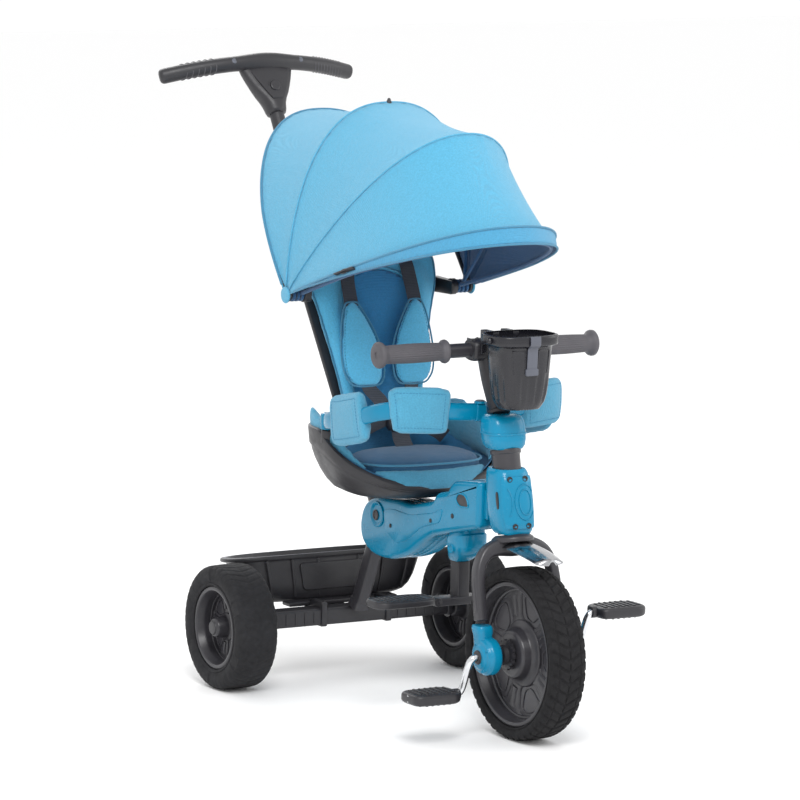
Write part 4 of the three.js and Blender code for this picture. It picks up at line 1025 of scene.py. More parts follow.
def make_head():
    """The head block, its panel lines and its screws."""
    low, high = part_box("head_block")
    base, top = low.z / MM, high.z / MM
    levels = [(0, 0.83), (0.02, 0.88), (0.06, 0.95), (0.12, 0.99), (0.3, 1.04), (0.5, 1.045), (0.7, 1.02),
              (0.86, 0.99), (0.94, 0.95), (0.98, 0.89), (1, 0.84)]
    rings = []
    for t, size in levels:
        z = lerp(base, top, t)
        rings.append([on_stem(a * size, b * size, z) for a, b in oval(30, 29, 3.2, 72)])
    rings += [[on_stem(a, b, lerp(base, top, t)) for a, b in oval(22.7, 22.7, 2, 72)]
              for t, _ in (levels[-1], levels[0])]
    parts = [skin(rings, closed=True)]
    # A raised shield on the front.
    shield = []
    for t in (0.10, 0.13, 0.2, 0.35, 0.5, 0.65, 0.8, 0.87, 0.9):
        z = lerp(base, top, t)
        half_angle = 0.95 - 0.35 * abs(t - 0.5)
        line = []
        for k in range(21):
            angle = -math.pi / 2 + lerp(-half_angle, half_angle, k / 20)
            lift = 1.7 if 0.12 < t < 0.88 and 0 < k < 20 else 0.2
            c, s = math.cos(angle), math.sin(angle)
            bulge = 1 + 0.02 * (1 - (2 * t - 1) ** 2)
            stretch = (abs(c / 31) ** 3.2 + abs(s / 30) ** 3.2) ** (-1 / 3.2) * bulge
            line.append((c * (stretch + lift), s * (stretch + lift)))
        ring = [on_stem(a, b, z) for a, b in line] + [on_stem(a * 0.9, b * 0.9, z)
                                                      for a, b in reversed(line)]
        shield.append(ring)
    parts.append(skin(shield))
    build("head_shell", parts, BLUE_SHELL, "frame", ["head_block"])
    lines = []
    for centre_x, centre_z, radius_x, radius_z, start, end in (
        (9, 363, 18, 27, 0.6, 5.7), (9, 363, 11, 19, 0.0, 6.283), (-34, 363, 20, 30, -0.75, 0.75),
    ):
        arc = []
        for k in range(33):
            angle = lerp(start, end, k / 32)
            x = centre_x + radius_x * math.cos(angle)
            arc.append(head_face(clamp(x, -25, 26), centre_z + radius_z * math.sin(angle), 1.9))
        lines.append(sweep(arc, steady(0.75, 0.75, 2), 90, 8, Y, ends=0.5))
    build("head_panel_lines", lines, BLUE_SHELL, "frame")
    screws = []
    for x, z in ((-15, 398), (-12, 327), (12, 327), (12, 398)):
        out = (head_face(x, z, 5) - head_face(x, z, 0)).normalized()
        dish = [(-2, 1), (-2, 4.4), (0.3, 4.4), (0.6, 3.9), (-0.9, 2.8), (-1.0, 0.5)]
        screws.append(turned(dish, head_face(x, z, 1.9), 32, out))
    for sign in (-1, 1):
        slot = []
        for u, v in oval(2.6, 13, 2.4, 32):
            slot.append((u - 15, v + 365))
        screws.append(slab(slot, sign * 29, sign * 31.9, 0.6, lambda u, v, w: on_stem(w, u, v)))
    build("head_screws", screws, DARK_SHELL, "frame")


def make_footrests():
    """The bracket under the frame, its post and the two footrests."""
    low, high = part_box("footrest_bracket")
    levels = [(246, 14, 15, 197), (247.5, 15.5, 16.5, 196.5), (254, 20, 21, 190), (266, 25.5, 28, 180),
              (274, 27, 30, 178), (287, 27, 30, 178), (290, 25, 27, 178), (306, 23, 25, 178)]
    rings = [[at(a, y + b, z if z < 280 else z - b * 0.2) for a, b in oval(half_a, half_b, 3, 56)]
             for z, half_a, half_b, y in levels]
    parts = [skin(rings)]
    for sign in (-1, 1):
        parts.append(turned([(sign * 0, 7.2), (sign * 1.6, 7.2), (sign * 2.2, 6.2), (sign * 0.8, 4.6),
                             (sign * 0.8, 0.5)],
                            at(sign * 25.8, 181, 268), 36))
    build("footrest_socket", parts, BLUE_SHELL, "frame", ["footrest_bracket"])
    low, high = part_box("footrest_post")
    reach = (high.x - low.x) / 2 / MM - 7
    post = slab(rounded([(-11, 184), (11, 184), (11, 184 + 26), (-11, 184 + 26)], 4, 4, closed=True), 180,
                245.6, 1.2, at)
    cross = slab(rounded([(-reach, 177.5), (reach, 177.5), (reach, 190), (-reach, 190)], 3, 3, closed=True),
                 182.5, 211.5, 2, from_front)
    parts = [post, cross]
    for sign in (-1, 1):
        parts.append(rod(at(sign * reach, 182, 184), at(sign * reach, 212, 184), 7, 36))
        parts.append(rod(at(sign * reach, 181, 184), at(sign * reach, 213, 184), 3.4, 24))
    parts.append(rod(at(-3.5, 216, 176), at(-3.5, 204, 252), 3.0, 20))
    build("footrest_stand", parts, DARK_SHELL, "frame", ["footrest_post"])
    for name, sign in SIDES.items():
        low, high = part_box("footrest_" + name)
        inner = min(abs(low.x), abs(high.x)) / MM
        outer = max(abs(low.x), abs(high.x)) / MM
        centre = (low + high) / 2
        y, z = (centre.y - AXLE.y) / MM, centre.z / MM
        half_y = (high.y - low.y) / 2 / MM
        half_z = (high.z - low.z) / 2 / MM
        outline = rounded([(inner, -half_y * 0.72), (inner + 12, -half_y * 0.9), (inner + 30, -half_y),
                           (outer - 12, -half_y),
                           (outer, -half_y * 0.6), (outer, half_y * 0.6), (outer - 12, half_y),
                           (inner + 30, half_y),
                           (inner + 12, half_y * 0.9), (inner, half_y * 0.72)], 10, 5, closed=True)
        place = lambda u, v, w: at(sign * u, y + v, z + w)
        parts = [slab(outline, -half_z, half_z - 1.6, 3, place)]
        frame_line = [place(u * 0.955 + 4.8, v * 0.86, half_z - 1.7) for u, v in outline]
        parts.append(sweep(frame_line, steady(1.6, 1.5, 2.4), 200, 12, UP, closed=True))
        for k in range(9):
            along = lerp(inner + 18, outer - 16, k / 8)
            rib = rounded([(along - 1.6, -half_y * 0.68), (along + 1.6, -half_y * 0.68),
                           (along + 1.6, half_y * 0.68), (along - 1.6, half_y * 0.68)], 1.5, 3, closed=True)
            parts.append(slab(rib, half_z - 2.6, half_z - 0.2, 0.7, place, 2))
        build("footrest_plate_" + name, parts, DARK_SHELL, "footrest_" + name,
              ["footrest_" + name])


def make_rear():
    """The axle beam, the rear post and the brake bar."""
    low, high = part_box("axle_beam")
    half = high.x / MM
    front, back, base, top = 520, 556, 91.5, 119
    outline = rounded([(front, base), (back, base), (back, top), (front, top)], 5, 4, closed=True)
    place = from_side
    parts = [slab(outline, -half, half, 1.5, place)]
    for sign in (-1, 1):
        ring = rounded([(front - 3, base - 2), (back + 3, base - 2), (back + 3, 130), (front - 3, 130)], 4,
                       4, closed=True)
        parts.append(slab(ring, sign * 60 - 5, sign * 60 + 5, 1.5, place))
        lug = rounded([(554, 96), (578, 96), (578, 116), (554, 116)], 6, 4, closed=True)
        parts.append(slab(lug, sign * 60 - 5, sign * 60 + 5, 1.2, place))
        end = rounded([(front - 2, base - 1.5), (back + 2, base - 1.5), (back + 2, top + 1.5),
                       (front - 2, top + 1.5)], 5, 4, closed=True)
        parts.append(slab(end, sign * (half - 9), sign * (half + 0.4), 1.5, place))
        parts.append(turned([(0, 2), (0, 16), (2.6, 15), (3, 12), (3, 2)],
                            at(sign * (half + 0.2), 538, 100), 48, (sign, 0, 0)))
        for k in range(5):
            x = sign * (78 + 17 * k)
            rib = rounded([(base + 4, x - 1), (top - 4, x - 1), (top - 4, x + 1), (base + 4, x + 1)], 0.8,
                          2, closed=True)
            parts.append(slab(rib, front - 1.0, front + 1, 0.4, lambda u, v, w: at(v, w, u)))
    build("axle_beam_casting", parts, DARK_SHELL, "frame", ["axle_beam"])
    low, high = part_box("rear_post")
    z0, z1 = low.z / MM, high.z / MM
    line = [at(0, 513, z0 + 0.8), at(0, lerp(513, 450, 0.35), lerp(z0, z1, 0.35)),
            at(0, lerp(513, 450, 0.7), lerp(z0, z1, 0.7)), at(0, 450, z1)]
    post = sweep(line, steady(12, 11.6, 4.5), 40, 40, X)
    boot = sweep([at(0, 513.5, z0 + 0.5), at(0, 508, z0 + 14)], lambda t: (15 - 2.4 * t, 15 - 3 * t, 4), 14,
                 40, X)
    build("rear_post_tube", [post, boot], DARK_SATIN, "frame", ["rear_post"])
    make_tray()
    bar = [rod(at(-150, 568, 106), at(150, 568, 106), 6, 36)]
    pedal = rounded([(-30, 570), (30, 570), (34, 598), (26, 603), (-26, 603), (-34, 598)], 6, 4,
                    closed=True)
    bar.append(slab(pedal, 101.2, 108.6, 2, at))
    for k in range(6):
        bar.append(block((-22, 578 + 4 * k, 107), (22, 579.6 + 4 * k, 109.8), 0.5))
    for sign in (-1, 1):
        bar.append(turned([(0, 6), (0, 9), (6, 9), (9, 5), (9.2, 1)], at(sign * 144, 568, 106), 32,
                          (sign, 0, 0)))
    build("brake_pedal_bar", bar, DARK_SHELL, "brake_bar", ["brake_bar"])


def tray_ring(half_x, half_y, y, z, count=96):
    """One level of the tray: an oval round its centre, in millimetres."""
    made = []
    for u, v in oval(half_x, half_y, 3.4, count):
        back = clamp((y + v - 590) / 150)
        made.append(at(u * (1.16 - 0.5 * back * back), y + v, z - (y + v - 590) * 0.14))
    return made


def make_tray():
    """The rear tray with its rolled rim and raised panels."""
    floor, rim = 121, 198
    outer = [(103, 41.5, 632, floor), (107, 45, 632, floor + 1.2), (114, 48, 633.5, floor + 2.6),
             (124, 52, 636, floor + 6),
             (134, 56, 638.5, floor + 15), (142, 60, 641, floor + 29), (150, 63, 645, floor + 48),
             (156, 66, 648, rim - 12),
             (158, 68, 650, rim - 8), (163, 69, 650, rim - 7), (167.4, 69.7, 650, rim - 5.6),
             (168, 70, 650, rim - 3), (167.4, 69.7, 650, rim - 0.8), (165.5, 69, 650, rim)]
    inner = [(156, 65, 650, rim), (154, 64, 650, rim - 1.4), (151, 61.5, 647, rim - 12),
             (137, 56, 641, floor + 31),
             (128, 52, 638.5, floor + 18), (119, 48, 636, floor + 10), (110, 44, 634, floor + 5.5),
             (102, 40, 632, floor + 4)]
    rings = [tray_ring(*level) for level in outer + inner]
    parts = [skin(rings)]
    # Stiffening ribs stand on the front wall and the floor.
    for sign in (-1, 1):
        for x in (34, 78, 120):
            z_low, z_high = floor + 8, rim - 10
            line = [
                at(sign * x, 584.6, z_low + 1), at(sign * x * 1.05, 581.6, lerp(z_low, z_high, 0.5)),
                at(sign * x * 1.1, 582, z_high + 2)
            ]
            parts.append(sweep(line, steady(2.2, 1.8, 2.6), 24, 14, Y, ends=1))
    parts.append(block((-100, 560.5, 117.5), (100, 588, 124), 1.5))
    panel = rounded([(-64, floor + 18), (64, floor + 18), (72, rim - 14), (-72, rim - 14)], 8, 5,
                    closed=True)
    parts.append(slab(panel, 585, 579.6, 1.4, from_front))
    build("rear_tray_tub", parts, DARK_SHELL, "frame", ["rear_tray"], sharp=50)
    lip = [(157.5, 65.6, 650, rim + 0.1), (160, 66.6, 650, rim + 0.5), (162.5, 67.6, 650, rim + 0.1)]
    band = [tray_ring(*level) for level in lip] + [tray_ring(160, 66.6, 650, rim - 0.8)]
    build("rear_tray_lip", [skin(band, closed=True)], GREY_SHELL, "frame")


# ---------------------------------------------------------------- push handle
SLIDE = Vector(JOINTS["push_handle_slide"]["axis"]).normalized()
POLE_FOOT = at(0, 433, 262)
POLE_OUT = Vector((0, -SLIDE.z, SLIDE.y))


def on_pole(along, x=0.0, out=0.0):
    """A point of the push handle: distance up its axis, across, and off its front face."""
    return POLE_FOOT + SLIDE * along * MM + X * x * MM + POLE_OUT * out * MM


POLE_TOP = 738.6


def make_push_handle():
    """The pole, the yoke and the ribbed bar of the push handle."""
    tube = [(1, 14), (2, 15), (360, 15), (361, 17.5), (364, 19), (384, 19), (388, 18.2), (392, 19),
            (397, 19), (400, 17.5), (400, 12.6)]
    build("push_outer_tube", [turned(tube, POLE_FOOT, 56, SLIDE)], DARK_SATIN, "frame",
          ["push_tube"])
    low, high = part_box("push_handle")
    half = (high.x - low.x) / 2 / MM - 4
    line = []
    for k in range(13):
        x = lerp(-half, half, k / 12)
        bend = (x / 171) ** 2
        line.append(at(x, 850 + 34 * bend, 976 - 22 * bend))

    def section(t):
        x = abs(2 * t - 1)
        swell = smoothstep(1 - x / 0.35)
        return 13 - 0.6 * x, 12.6 + 3 * swell, 2.4

    bar = sweep(line, section, 150, 40, UP, ends=7)
    yoke = []
    for along, half_x, half_y, square in (
        (-4, 14, 14, 2), (-3, 16, 16, 2), (2, 17.5, 17, 2.2), (12, 19, 18, 2.4), (22, 23, 17.6, 2.7),
        (32, 29, 16.6, 3),
        (44, 35, 15.4, 3), (58, 41, 14.4, 3), (72, 46, 13.4, 3), (82, 48.5, 12, 3), (90, 47, 9, 3),
    ):
        yoke.append([on_pole(POLE_TOP + along, a, b) for a, b in oval(half_x, half_y, square, 56)])
    inner = turned([(0, 10), (1, 12), (POLE_TOP - 250, 12), (POLE_TOP - 249, 10)], on_pole(250), 48, SLIDE)
    parts = [bar, skin(yoke), inner]
    # A raised panel on the yoke's front and back.
    for face in (1, -1):
        rings = []
        for along, half_x, lift in ((16, 8, 16.6), (19, 11, 19.4), (34, 19, 18.2), (56, 29, 16.2),
                                    (76, 36, 14.6), (80, 34, 12)):
            ring = []
            for a, b in oval(half_x, 1, 6, 32):
                curve = lift - 5.2 * (a / 42) ** 2 * (half_x / 30)
                ring.append(on_pole(POLE_TOP + along, a, face * (curve + (0.6 if b > 0 else -3))))
            rings.append(ring)
        parts.append(skin(rings))
    build("push_handle_bar", parts, DARK_SHELL, "push_handle", ["push_handle"], sharp=50)
    grips = []
    for sign in (-1, 1):
        for k in range(10 if sign > 0 else 6):
            x = sign * (96 + (6.4 if sign > 0 else 9.5) * k)
            bend = (x / 171) ** 2
            centre = at(x, 850 + 34 * bend, 976 - 22 * bend)
            slant = 5.0
            ring_line = []
            for i in range(24):
                angle = math.tau * i / 24
                ring_line.append(centre + Vector((sign * slant * math.cos(angle) * 0.6,
                                                  12.7 * math.cos(angle), 12.4 * math.sin(angle))) * MM)
            grips.append(sweep(ring_line, steady(1.5, 0.9, 2.2), 64, 10, X, closed=True))
    build("push_handle_ribs", grips, GRIP_RUBBER, "push_handle")
    rivets = []
    for sign in (-1, 1):
        bend = (62 / 171) ** 2
        spot = at(sign * 62, 850 + 34 * bend, 976 - 22 * bend) + POLE_OUT * 12.4 * MM
        rivets.append(turned([(-2, 4.6), (0.4, 4.6), (1.4, 3.4), (1.7, 0.5)], spot, 32, POLE_OUT))
    build("push_handle_rivets", rivets, GREY_SHELL, "push_handle")
    collar = [(13.5, 9.4), (13.5, 12), (18.2, 11.4), (18.8, 10.6), (18.6, 9.4)]
    build("push_handle_button_collar", [turned(collar, on_pole(POLE_TOP + 40), 48, POLE_OUT, closed=True)],
          DARK_SHELL, "push_handle")
    button = [(18.0, 7.6), (18.0, 8.7), (19.9, 8.7), (20.7, 7.8), (21.0, 6), (20.6, 3), (20.4, 0.5)]
    build("handle_button_cap", [turned(button, on_pole(POLE_TOP + 40), 48, POLE_OUT)], DARK_SHELL,
          "handle_button", ["handle_button"])


# ---------------------------------------------------------------- padded goods
def swell(piece, voxel, pressure, cap, seams=(), seam_reach=0.003, seam_depth=0.0015, frames=20):
    """Cloth swells a closed pad: it is remeshed, its seams are pulled in and held, and the rest blows up."""
    mesh = piece.data
    rest_material = mesh.materials[0]
    select_only(piece)
    remesh = piece.modifiers.new("remesh", "REMESH")
    remesh.mode = "VOXEL"
    remesh.voxel_size = voxel
    bpy.ops.object.modifier_apply(modifier=remesh.name)
    mesh = piece.data
    pinned = []
    if seams:
        normals = [vertex.normal.copy() for vertex in mesh.vertices]
        for vertex in mesh.vertices:
            distance = min((nearest_on_line(vertex.co, line) for line in seams), default=1.0)
            if distance < seam_reach:
                pinned.append(vertex.index)
            if distance < seam_reach * 2.2:
                sunk = 1 - smoothstep(distance / (seam_reach * 2.2))
                vertex.co -= normals[vertex.index] * seam_depth * sunk
    start = [vertex.co.copy() for vertex in mesh.vertices]
    cloth = piece.modifiers.new("cloth", "CLOTH")
    settings = cloth.settings
    settings.quality = 5
    settings.use_pressure = True
    settings.uniform_pressure_force = pressure
    settings.effector_weights.gravity = 0
    settings.tension_stiffness = 18
    settings.compression_stiffness = 12
    settings.bending_stiffness = 0.6
    if pinned:
        group = piece.vertex_groups.new(name="seams")
        group.add(pinned, 1.0, "REPLACE")
        settings.vertex_group_mass = "seams"
    for step in range(1, frames + 1):
        bpy.context.scene.frame_set(step)
    depsgraph = bpy.context.evaluated_depsgraph_get()
    moved = [vertex.co.copy() for vertex in piece.evaluated_get(depsgraph).data.vertices]
    piece.modifiers.remove(cloth)
    bpy.context.scene.frame_set(1)
    for vertex, before, after in zip(mesh.vertices, start, moved):
        shift = after - before
        if shift.length > cap:
            shift *= cap / shift.length
        vertex.co = before + shift
    if pinned:
        piece.vertex_groups.clear()
    smooth_surface(mesh)
    if not mesh.materials:
        mesh.materials.append(rest_material)
    finer = piece.modifiers.new("finer", "SUBSURF")
    finer.levels = 1
    finer.render_levels = 1
    return piece


def smooth_surface(mesh, steps=2):
    """A mesh with its small bumps evened out and its faces shaded smooth."""
    shape = bmesh.new()
    shape.from_mesh(mesh)
    for _ in range(steps):
        bmesh.ops.smooth_vert(shape, verts=shape.verts, factor=0.4, use_axis_x=True, use_axis_y=True,
                              use_axis_z=True)
    shape.to_mesh(mesh)
    shape.free()
    for polygon in mesh.polygons:
        polygon.use_smooth = True


def select_only(piece):
    """Makes a piece the only selected one."""
    for other in bpy.context.selected_objects:
        other.select_set(False)
    piece.select_set(True)
    bpy.context.view_layer.objects.active = piece


def nearest_on_line(point, line):
    """How far a point is from a line."""
    best = 1.0
    for a, b in zip(line, line[1:]):
        along = b - a
        t = clamp((point - a).dot(along) / max(along.length_squared, 1e-12))
        best = min(best, (a + along * t - point).length)
    return best


def piping(name, line, body, material=None, radius=1.9, closed=True, count=None):
    """A corded seam along a line."""
    count = count or max(24, int(sum((b - a).length for a, b in zip(line, line[1:])) / 0.006))
    shape = sweep(line, lambda t: (radius, radius, 2), count, 10, Vector((0.13, 0.21, 0.97)), closed=closed,
                  ends=0 if closed else radius)
    return build(name, [shape], material or PIPING_CLOTH, body)


def stitches(lines, length=3.0, gap=2.0, radius=0.45):
    """Short thread stitches along lines."""
    parts = []
    for line in lines:
        total = sum((b - a).length for a, b in zip(line, line[1:])) / MM
        points = smooth_line(line, max(8, int(total / (length + gap)) * 2 + 1))
        for a, b in zip(points[::2], points[1::2]):
            parts.append(sweep([a, (a + b) / 2, b], lambda t: (radius, radius, 2), 5, 6,
                               Vector((0.3, 0.5, 0.81)), ends=radius))
    return parts


BACK_FOOT = at(0, 424, 430)
BACK_TOP = at(0, 484, 728)
BACK_UP = (BACK_TOP - BACK_FOOT).normalized()
BACK_OUT = X.cross(BACK_UP)
BACK_LENGTH = (BACK_TOP - BACK_FOOT).length / MM
if BACK_OUT.y > 0:
    BACK_OUT = -BACK_OUT


def on_back(x, up, out=0.0):
    """A point of the backrest: across, up along it, and out from it."""
    return BACK_FOOT + X * x * MM + BACK_UP * up * MM + BACK_OUT * out * MM


def back_half(up):
    """Half the backrest's width at a height along it."""
    t = clamp(up / BACK_LENGTH)
    width = 78 + 62 * clamp(t * 1.35)
    if t > 0.82:
        width *= math.sqrt(max(0, 1 - ((t - 0.82) / 0.24) ** 2))
    return width


def back_outline(share, step):
    """A share of the backrest's outline, up one side and down the other."""
    sides = ((1, range(6, 296, step)), (-1, range(294, 5, -step)))
    return [(back_half(up) * share * side, up) for side, ups in sides for up in ups]


def make_backrest():
    """The backrest: its shell, its pad, its piping and its darker panel."""
    shell = []
    outline = rounded(back_outline(0.87, 12), 6, 2, closed=True)
    shell.append(slab(outline, -38.6, -31.4, 2.5, on_back))
    build("backrest_tray", shell, DARK_SHELL, "frame", ["backrest_shell"])
    rim = back_outline(0.85, 10)
    dished = lambda u, v, w: on_back(u, v, w - 3.0 * clamp(1 - abs(u) / 120))
    pad = slab(rounded(rim, 8, 2, closed=True), -27, -4, 10, dished)
    # The cushion's paler cloth is painted light against the canopy's shade.
    piece = build("backrest_cushion", [pad], PAINTED_LIGHT_CLOTH, None)
    arc = [on_back(62 * math.cos(a), 212 + 40 * math.sin(a), -4)
           for a in [math.pi * k / 16 for k in range(17)]]
    left = [on_back(lerp(56, 62, k / 12), lerp(14, 212, k / 12), -4) for k in range(13)]
    right = [on_back(-lerp(56, 62, k / 12), lerp(14, 212, k / 12), -4) for k in range(13)]
    swell(piece, 0.006, 3.2, 0.007, [arc, left, right])
    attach(piece, "frame")
    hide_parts("backrest_pad")
    surface = lambda line, lift: [drop_on(piece, point, -BACK_OUT, lift) for point in line]
    edge = []
    for u, v in rim:
        heart = on_back(0, clamp(v, 70, 215), -15)
        place = on_back(u, v, -15)
        edge.append(drop_on(piece, place, (heart - place).normalized(), 0.0012))
    piping("backrest_rim_piping", edge, "frame", count=260)
    for name, line in (("arc", arc), ("left", left), ("right", right)):
        piping("backrest_seam_" + name, surface(line, 0.0012), "frame", closed=False, radius=1.5, count=80)
    # A darker panel lies between the seams.
    panel = [(56, 16), (58.5, 80), (61, 150), (61, 206)]
    panel += [(60 * math.cos(a), 210 + 37 * math.sin(a)) for a in [math.pi * k / 12 for k in range(1, 12)]]
    panel += [(-61, 206), (-61, 150), (-58.5, 80), (-56, 16)]
    make_panel("backrest_centre_panel", piece, panel, on_back, PANEL_CLOTH, "frame")


def drop_on(piece, point, way, lift):
    """The place where a ray from in front of a piece meets it, lifted a little off it."""
    start = point - way * 0.08
    hit, place, _, _ = piece.ray_cast(piece.matrix_world.inverted() @ start, way)
    return (piece.matrix_world @ place) - way * lift if hit else point


def make_panel(name, piece, outline, place, material, body, lift=0.0009):
    """A thin layer of cloth that lies on a pad inside an outline."""
    us = [u for u, _ in outline]
    vs = [v for _, v in outline]
    shape = bmesh.new()
    face_points = [shape.verts.new(place(u, v, 0)) for u, v in rounded(outline, 4, 2, closed=True)]
    shape.faces.new(face_points)
    step = 6
    for low, high, axis in ((min(us), max(us), 0), (min(vs), max(vs), 1)):
        k = low + step
        while k < high:
            point = place(k, 0, 0) if axis == 0 else place(0, k, 0)
            normal = (place(1, 0, 0) - place(0, 0, 0)) if axis == 0 else (place(0, 1, 0) - place(0, 0, 0))
            bmesh.ops.bisect_plane(shape, geom=shape.verts[:] + shape.edges[:] + shape.faces[:],
                                   plane_co=point, plane_no=normal.normalized())
            k += step
    way = (place(0, 0, 0) - place(0, 0, 1)).normalized()
    for vertex in shape.verts:
        vertex.co = drop_on(piece, vertex.co, way, lift)
    mesh = bpy.data.meshes.new(name)
    bmesh.ops.recalc_face_normals(shape, faces=shape.faces)
    shape.to_mesh(mesh)
    shape.free()
    for polygon in mesh.polygons:
        polygon.use_smooth = True
    layer = bpy.data.objects.new(name, mesh)
    bpy.context.scene.collection.objects.link(layer)
    mesh.materials.append(material)
    thick = layer.modifiers.new("thick", "SOLIDIFY")
    thick.thickness = 0.0012
    thick.offset = 0
    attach(layer, body)
    return layer


def pad_from_rings(name, rings, material, body, node, cap, voxel=0.005, pressure=3.5, seams=()):
    """A swollen pad over rings, given its place."""
    piece = build(name, [skin(rings)], material, None)
    swell(piece, voxel, pressure, cap, seams)
    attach(piece, body)
    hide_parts(node)
    return piece


def make_seat():
    """The bucket, the cushion and the cloth that covers them."""
    low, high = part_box("seat_shell")
    centre_y = 376
    half_x = (high.x - low.x) / 2 / MM
    half_y = 114
    floor = 328

    def rim(y):
        return 349 + 88 * clamp((y - (centre_y - half_y)) / 120) ** 0.8

    def ring(size, lift, inset=0.0, raise_by=0.0):
        made = []
        for u, v in oval(half_x * size - inset, half_y * size - inset, 2.5, 96):
            top = rim(centre_y + v / max(size, 0.01))
            made.append(at(u, centre_y + v, lerp(floor, top, lift) + raise_by))
        return made

    outer = [(0.3, 0), (0.5, 0.01), (0.62, 0.035), (0.73, 0.11), (0.805, 0.22), (0.87, 0.36), (0.925, 0.52),
             (0.945, 0.6), (0.96, 0.66), (0.963, 0.7), (0.985, 0.74), (0.99, 0.8), (1, 0.96), (0.998, 0.99)]
    inner = [(0.998, 0.995), (0.97, 0.8), (0.94, 0.62), (0.88, 0.42), (0.81, 0.28), (0.72, 0.15),
             (0.6, 0.08), (0.3, 0.06)]
    rings = [ring(size, lift) for size, lift in outer] + [ring(size, lift, 4, 1 if lift > 0.5 else 3)
                                                          for size, lift in inner]
    parts = [skin(rings)]
    parts.append(skin([[at(a * s, 372 + b * s, z) for a, b in oval(27, 30, 3.4, 48)] for z, s in
                       ((321.9, 0.93), (322.6, 0.99), (324, 1), (326, 1), (331, 1.05))]))
    for sign in (-1, 1):
        ear = [(0, 8), (0, 11), (19, 11), (20.5, 10), (20.6, 1)]
        parts.append(turned(rounded(ear, 1, 2), at(sign * 144, 368, 416), 40, UP))
    build("seat_bucket", parts, DARK_SHELL, "frame", ["seat_shell"], sharp=50)
    levels = [(344, 56, 36), (349, 78, 50), (356, 93, 60), (366, 103, 69), (378, 108, 73), (388, 106, 71),
              (395, 96, 63), (399, 76, 48)]
    rings = [[at(a, 346 + b, z - 5 * clamp(-b / 74) ** 2) for a, b in oval(half_a, half_b, 2.7, 40)]
             for z, half_a, half_b in levels]
    seam = [at(a, 346 + b, 388) for a, b in oval(106, 71, 2.7, 40)]
    pad_from_rings("seat_cushion_pad", rings, CUSHION_CLOTH, "frame", "seat_cushion", 0.006, 0.006, 3.0,
                   [seam + seam[:1]])
    piping("seat_cushion_piping", [at(a, 346 + b, 386.5) for a, b in oval(108.6, 73.4, 2.7, 60)], "frame",
           count=220)
    liner = []
    for size, lift in ((0.975, 0.93), (0.955, 0.8), (0.925, 0.62), (0.865, 0.42), (0.80, 0.28),
                       (0.71, 0.15), (0.59, 0.09), (0.45, 0.08), (0.3, 0.075)):
        row = ring(size, lift, 5.6, 3.4)
        liner.append(row + row[:1])
    make_liner(liner)
    make_seat_cover(rim, half_x)


def make_liner(rows):
    """The quilted cloth that lines the bucket."""
    mesh = grid_mesh("seat_liner", rows)
    if mesh.polygons[len(mesh.polygons) - 5].normal.z < 0:
        mesh.flip_normals()
    mesh.materials.append(DEEP_CLOTH)
    piece = bpy.data.objects.new("seat_liner", mesh)
    bpy.context.scene.collection.objects.link(piece)
    finer = piece.modifiers.new("finer", "SUBSURF")
    finer.levels = 1
    finer.render_levels = 1
    solid = piece.modifiers.new("thick", "SOLIDIFY")
    solid.thickness = 0.0014
    solid.offset = 0
    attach(piece, "frame")


def make_seat_cover(rim, half_x):
    """The padded side wings of the seat cover, and its front lip that hangs over the shell."""
    for name, sign in SIDES.items():
        rings = []
        for k in range(15):
            t = k / 14
            y = lerp(292, 466, t)
            top = rim(y) + 7 + 10 * math.sin(math.pi * t) + 34 * smoothstep((t - 0.55) / 0.4)
            base = lerp(372, 392, t)
            x = half_x * (1 - (abs(y - 376) / 114) ** 2.5) ** (1 / 2.5) - 13 if abs(y - 376) < 113 else 40
            x = max(x, 62)
            end = math.sqrt(clamp(1 - (abs(2 * t - 1)) ** 3, 0.06, 1))
            ring = []
            for a, b in oval(7.5 * end, (top - base) / 2 * end, 2.4, 20):
                z = (top + base) / 2 + b
                lean = 0.16 * (z - 400)
                ring.append(at(sign * (x - 6 + a + lean), y, z))
            rings.append(ring)
        piece = build("seat_wing_" + name, [skin(rings)], PAD_CLOTH, None)
        swell(piece, 0.006, 2.5, 0.004)
        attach(piece, "frame")
    rings = []
    for k in range(21):
        t = k / 20
        angle = lerp(-0.80, 0.80, t)
        x = 124 * math.sin(angle) * 1.18
        edge = math.sqrt(clamp(1 - abs(2 * t - 1) ** 4, 0.05, 1))
        front = 376 - 114 * (1 - clamp(abs(x) / 137) ** 2.5) ** (1 / 2.5)
        ring = []
        for a, b in oval(6 * edge, 17 * edge, 2.4, 20):
            z = 364 + b + 8 * (abs(x) / 110) ** 2
            ring.append(at(x, front + 7 + a + 0.35 * (z - 364), z))
        rings.append(ring)
    piece = build("seat_front_lip", [skin(rings)], PAD_CLOTH, None)
    swell(piece, 0.006, 2.5, 0.004)
    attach(piece, "frame")


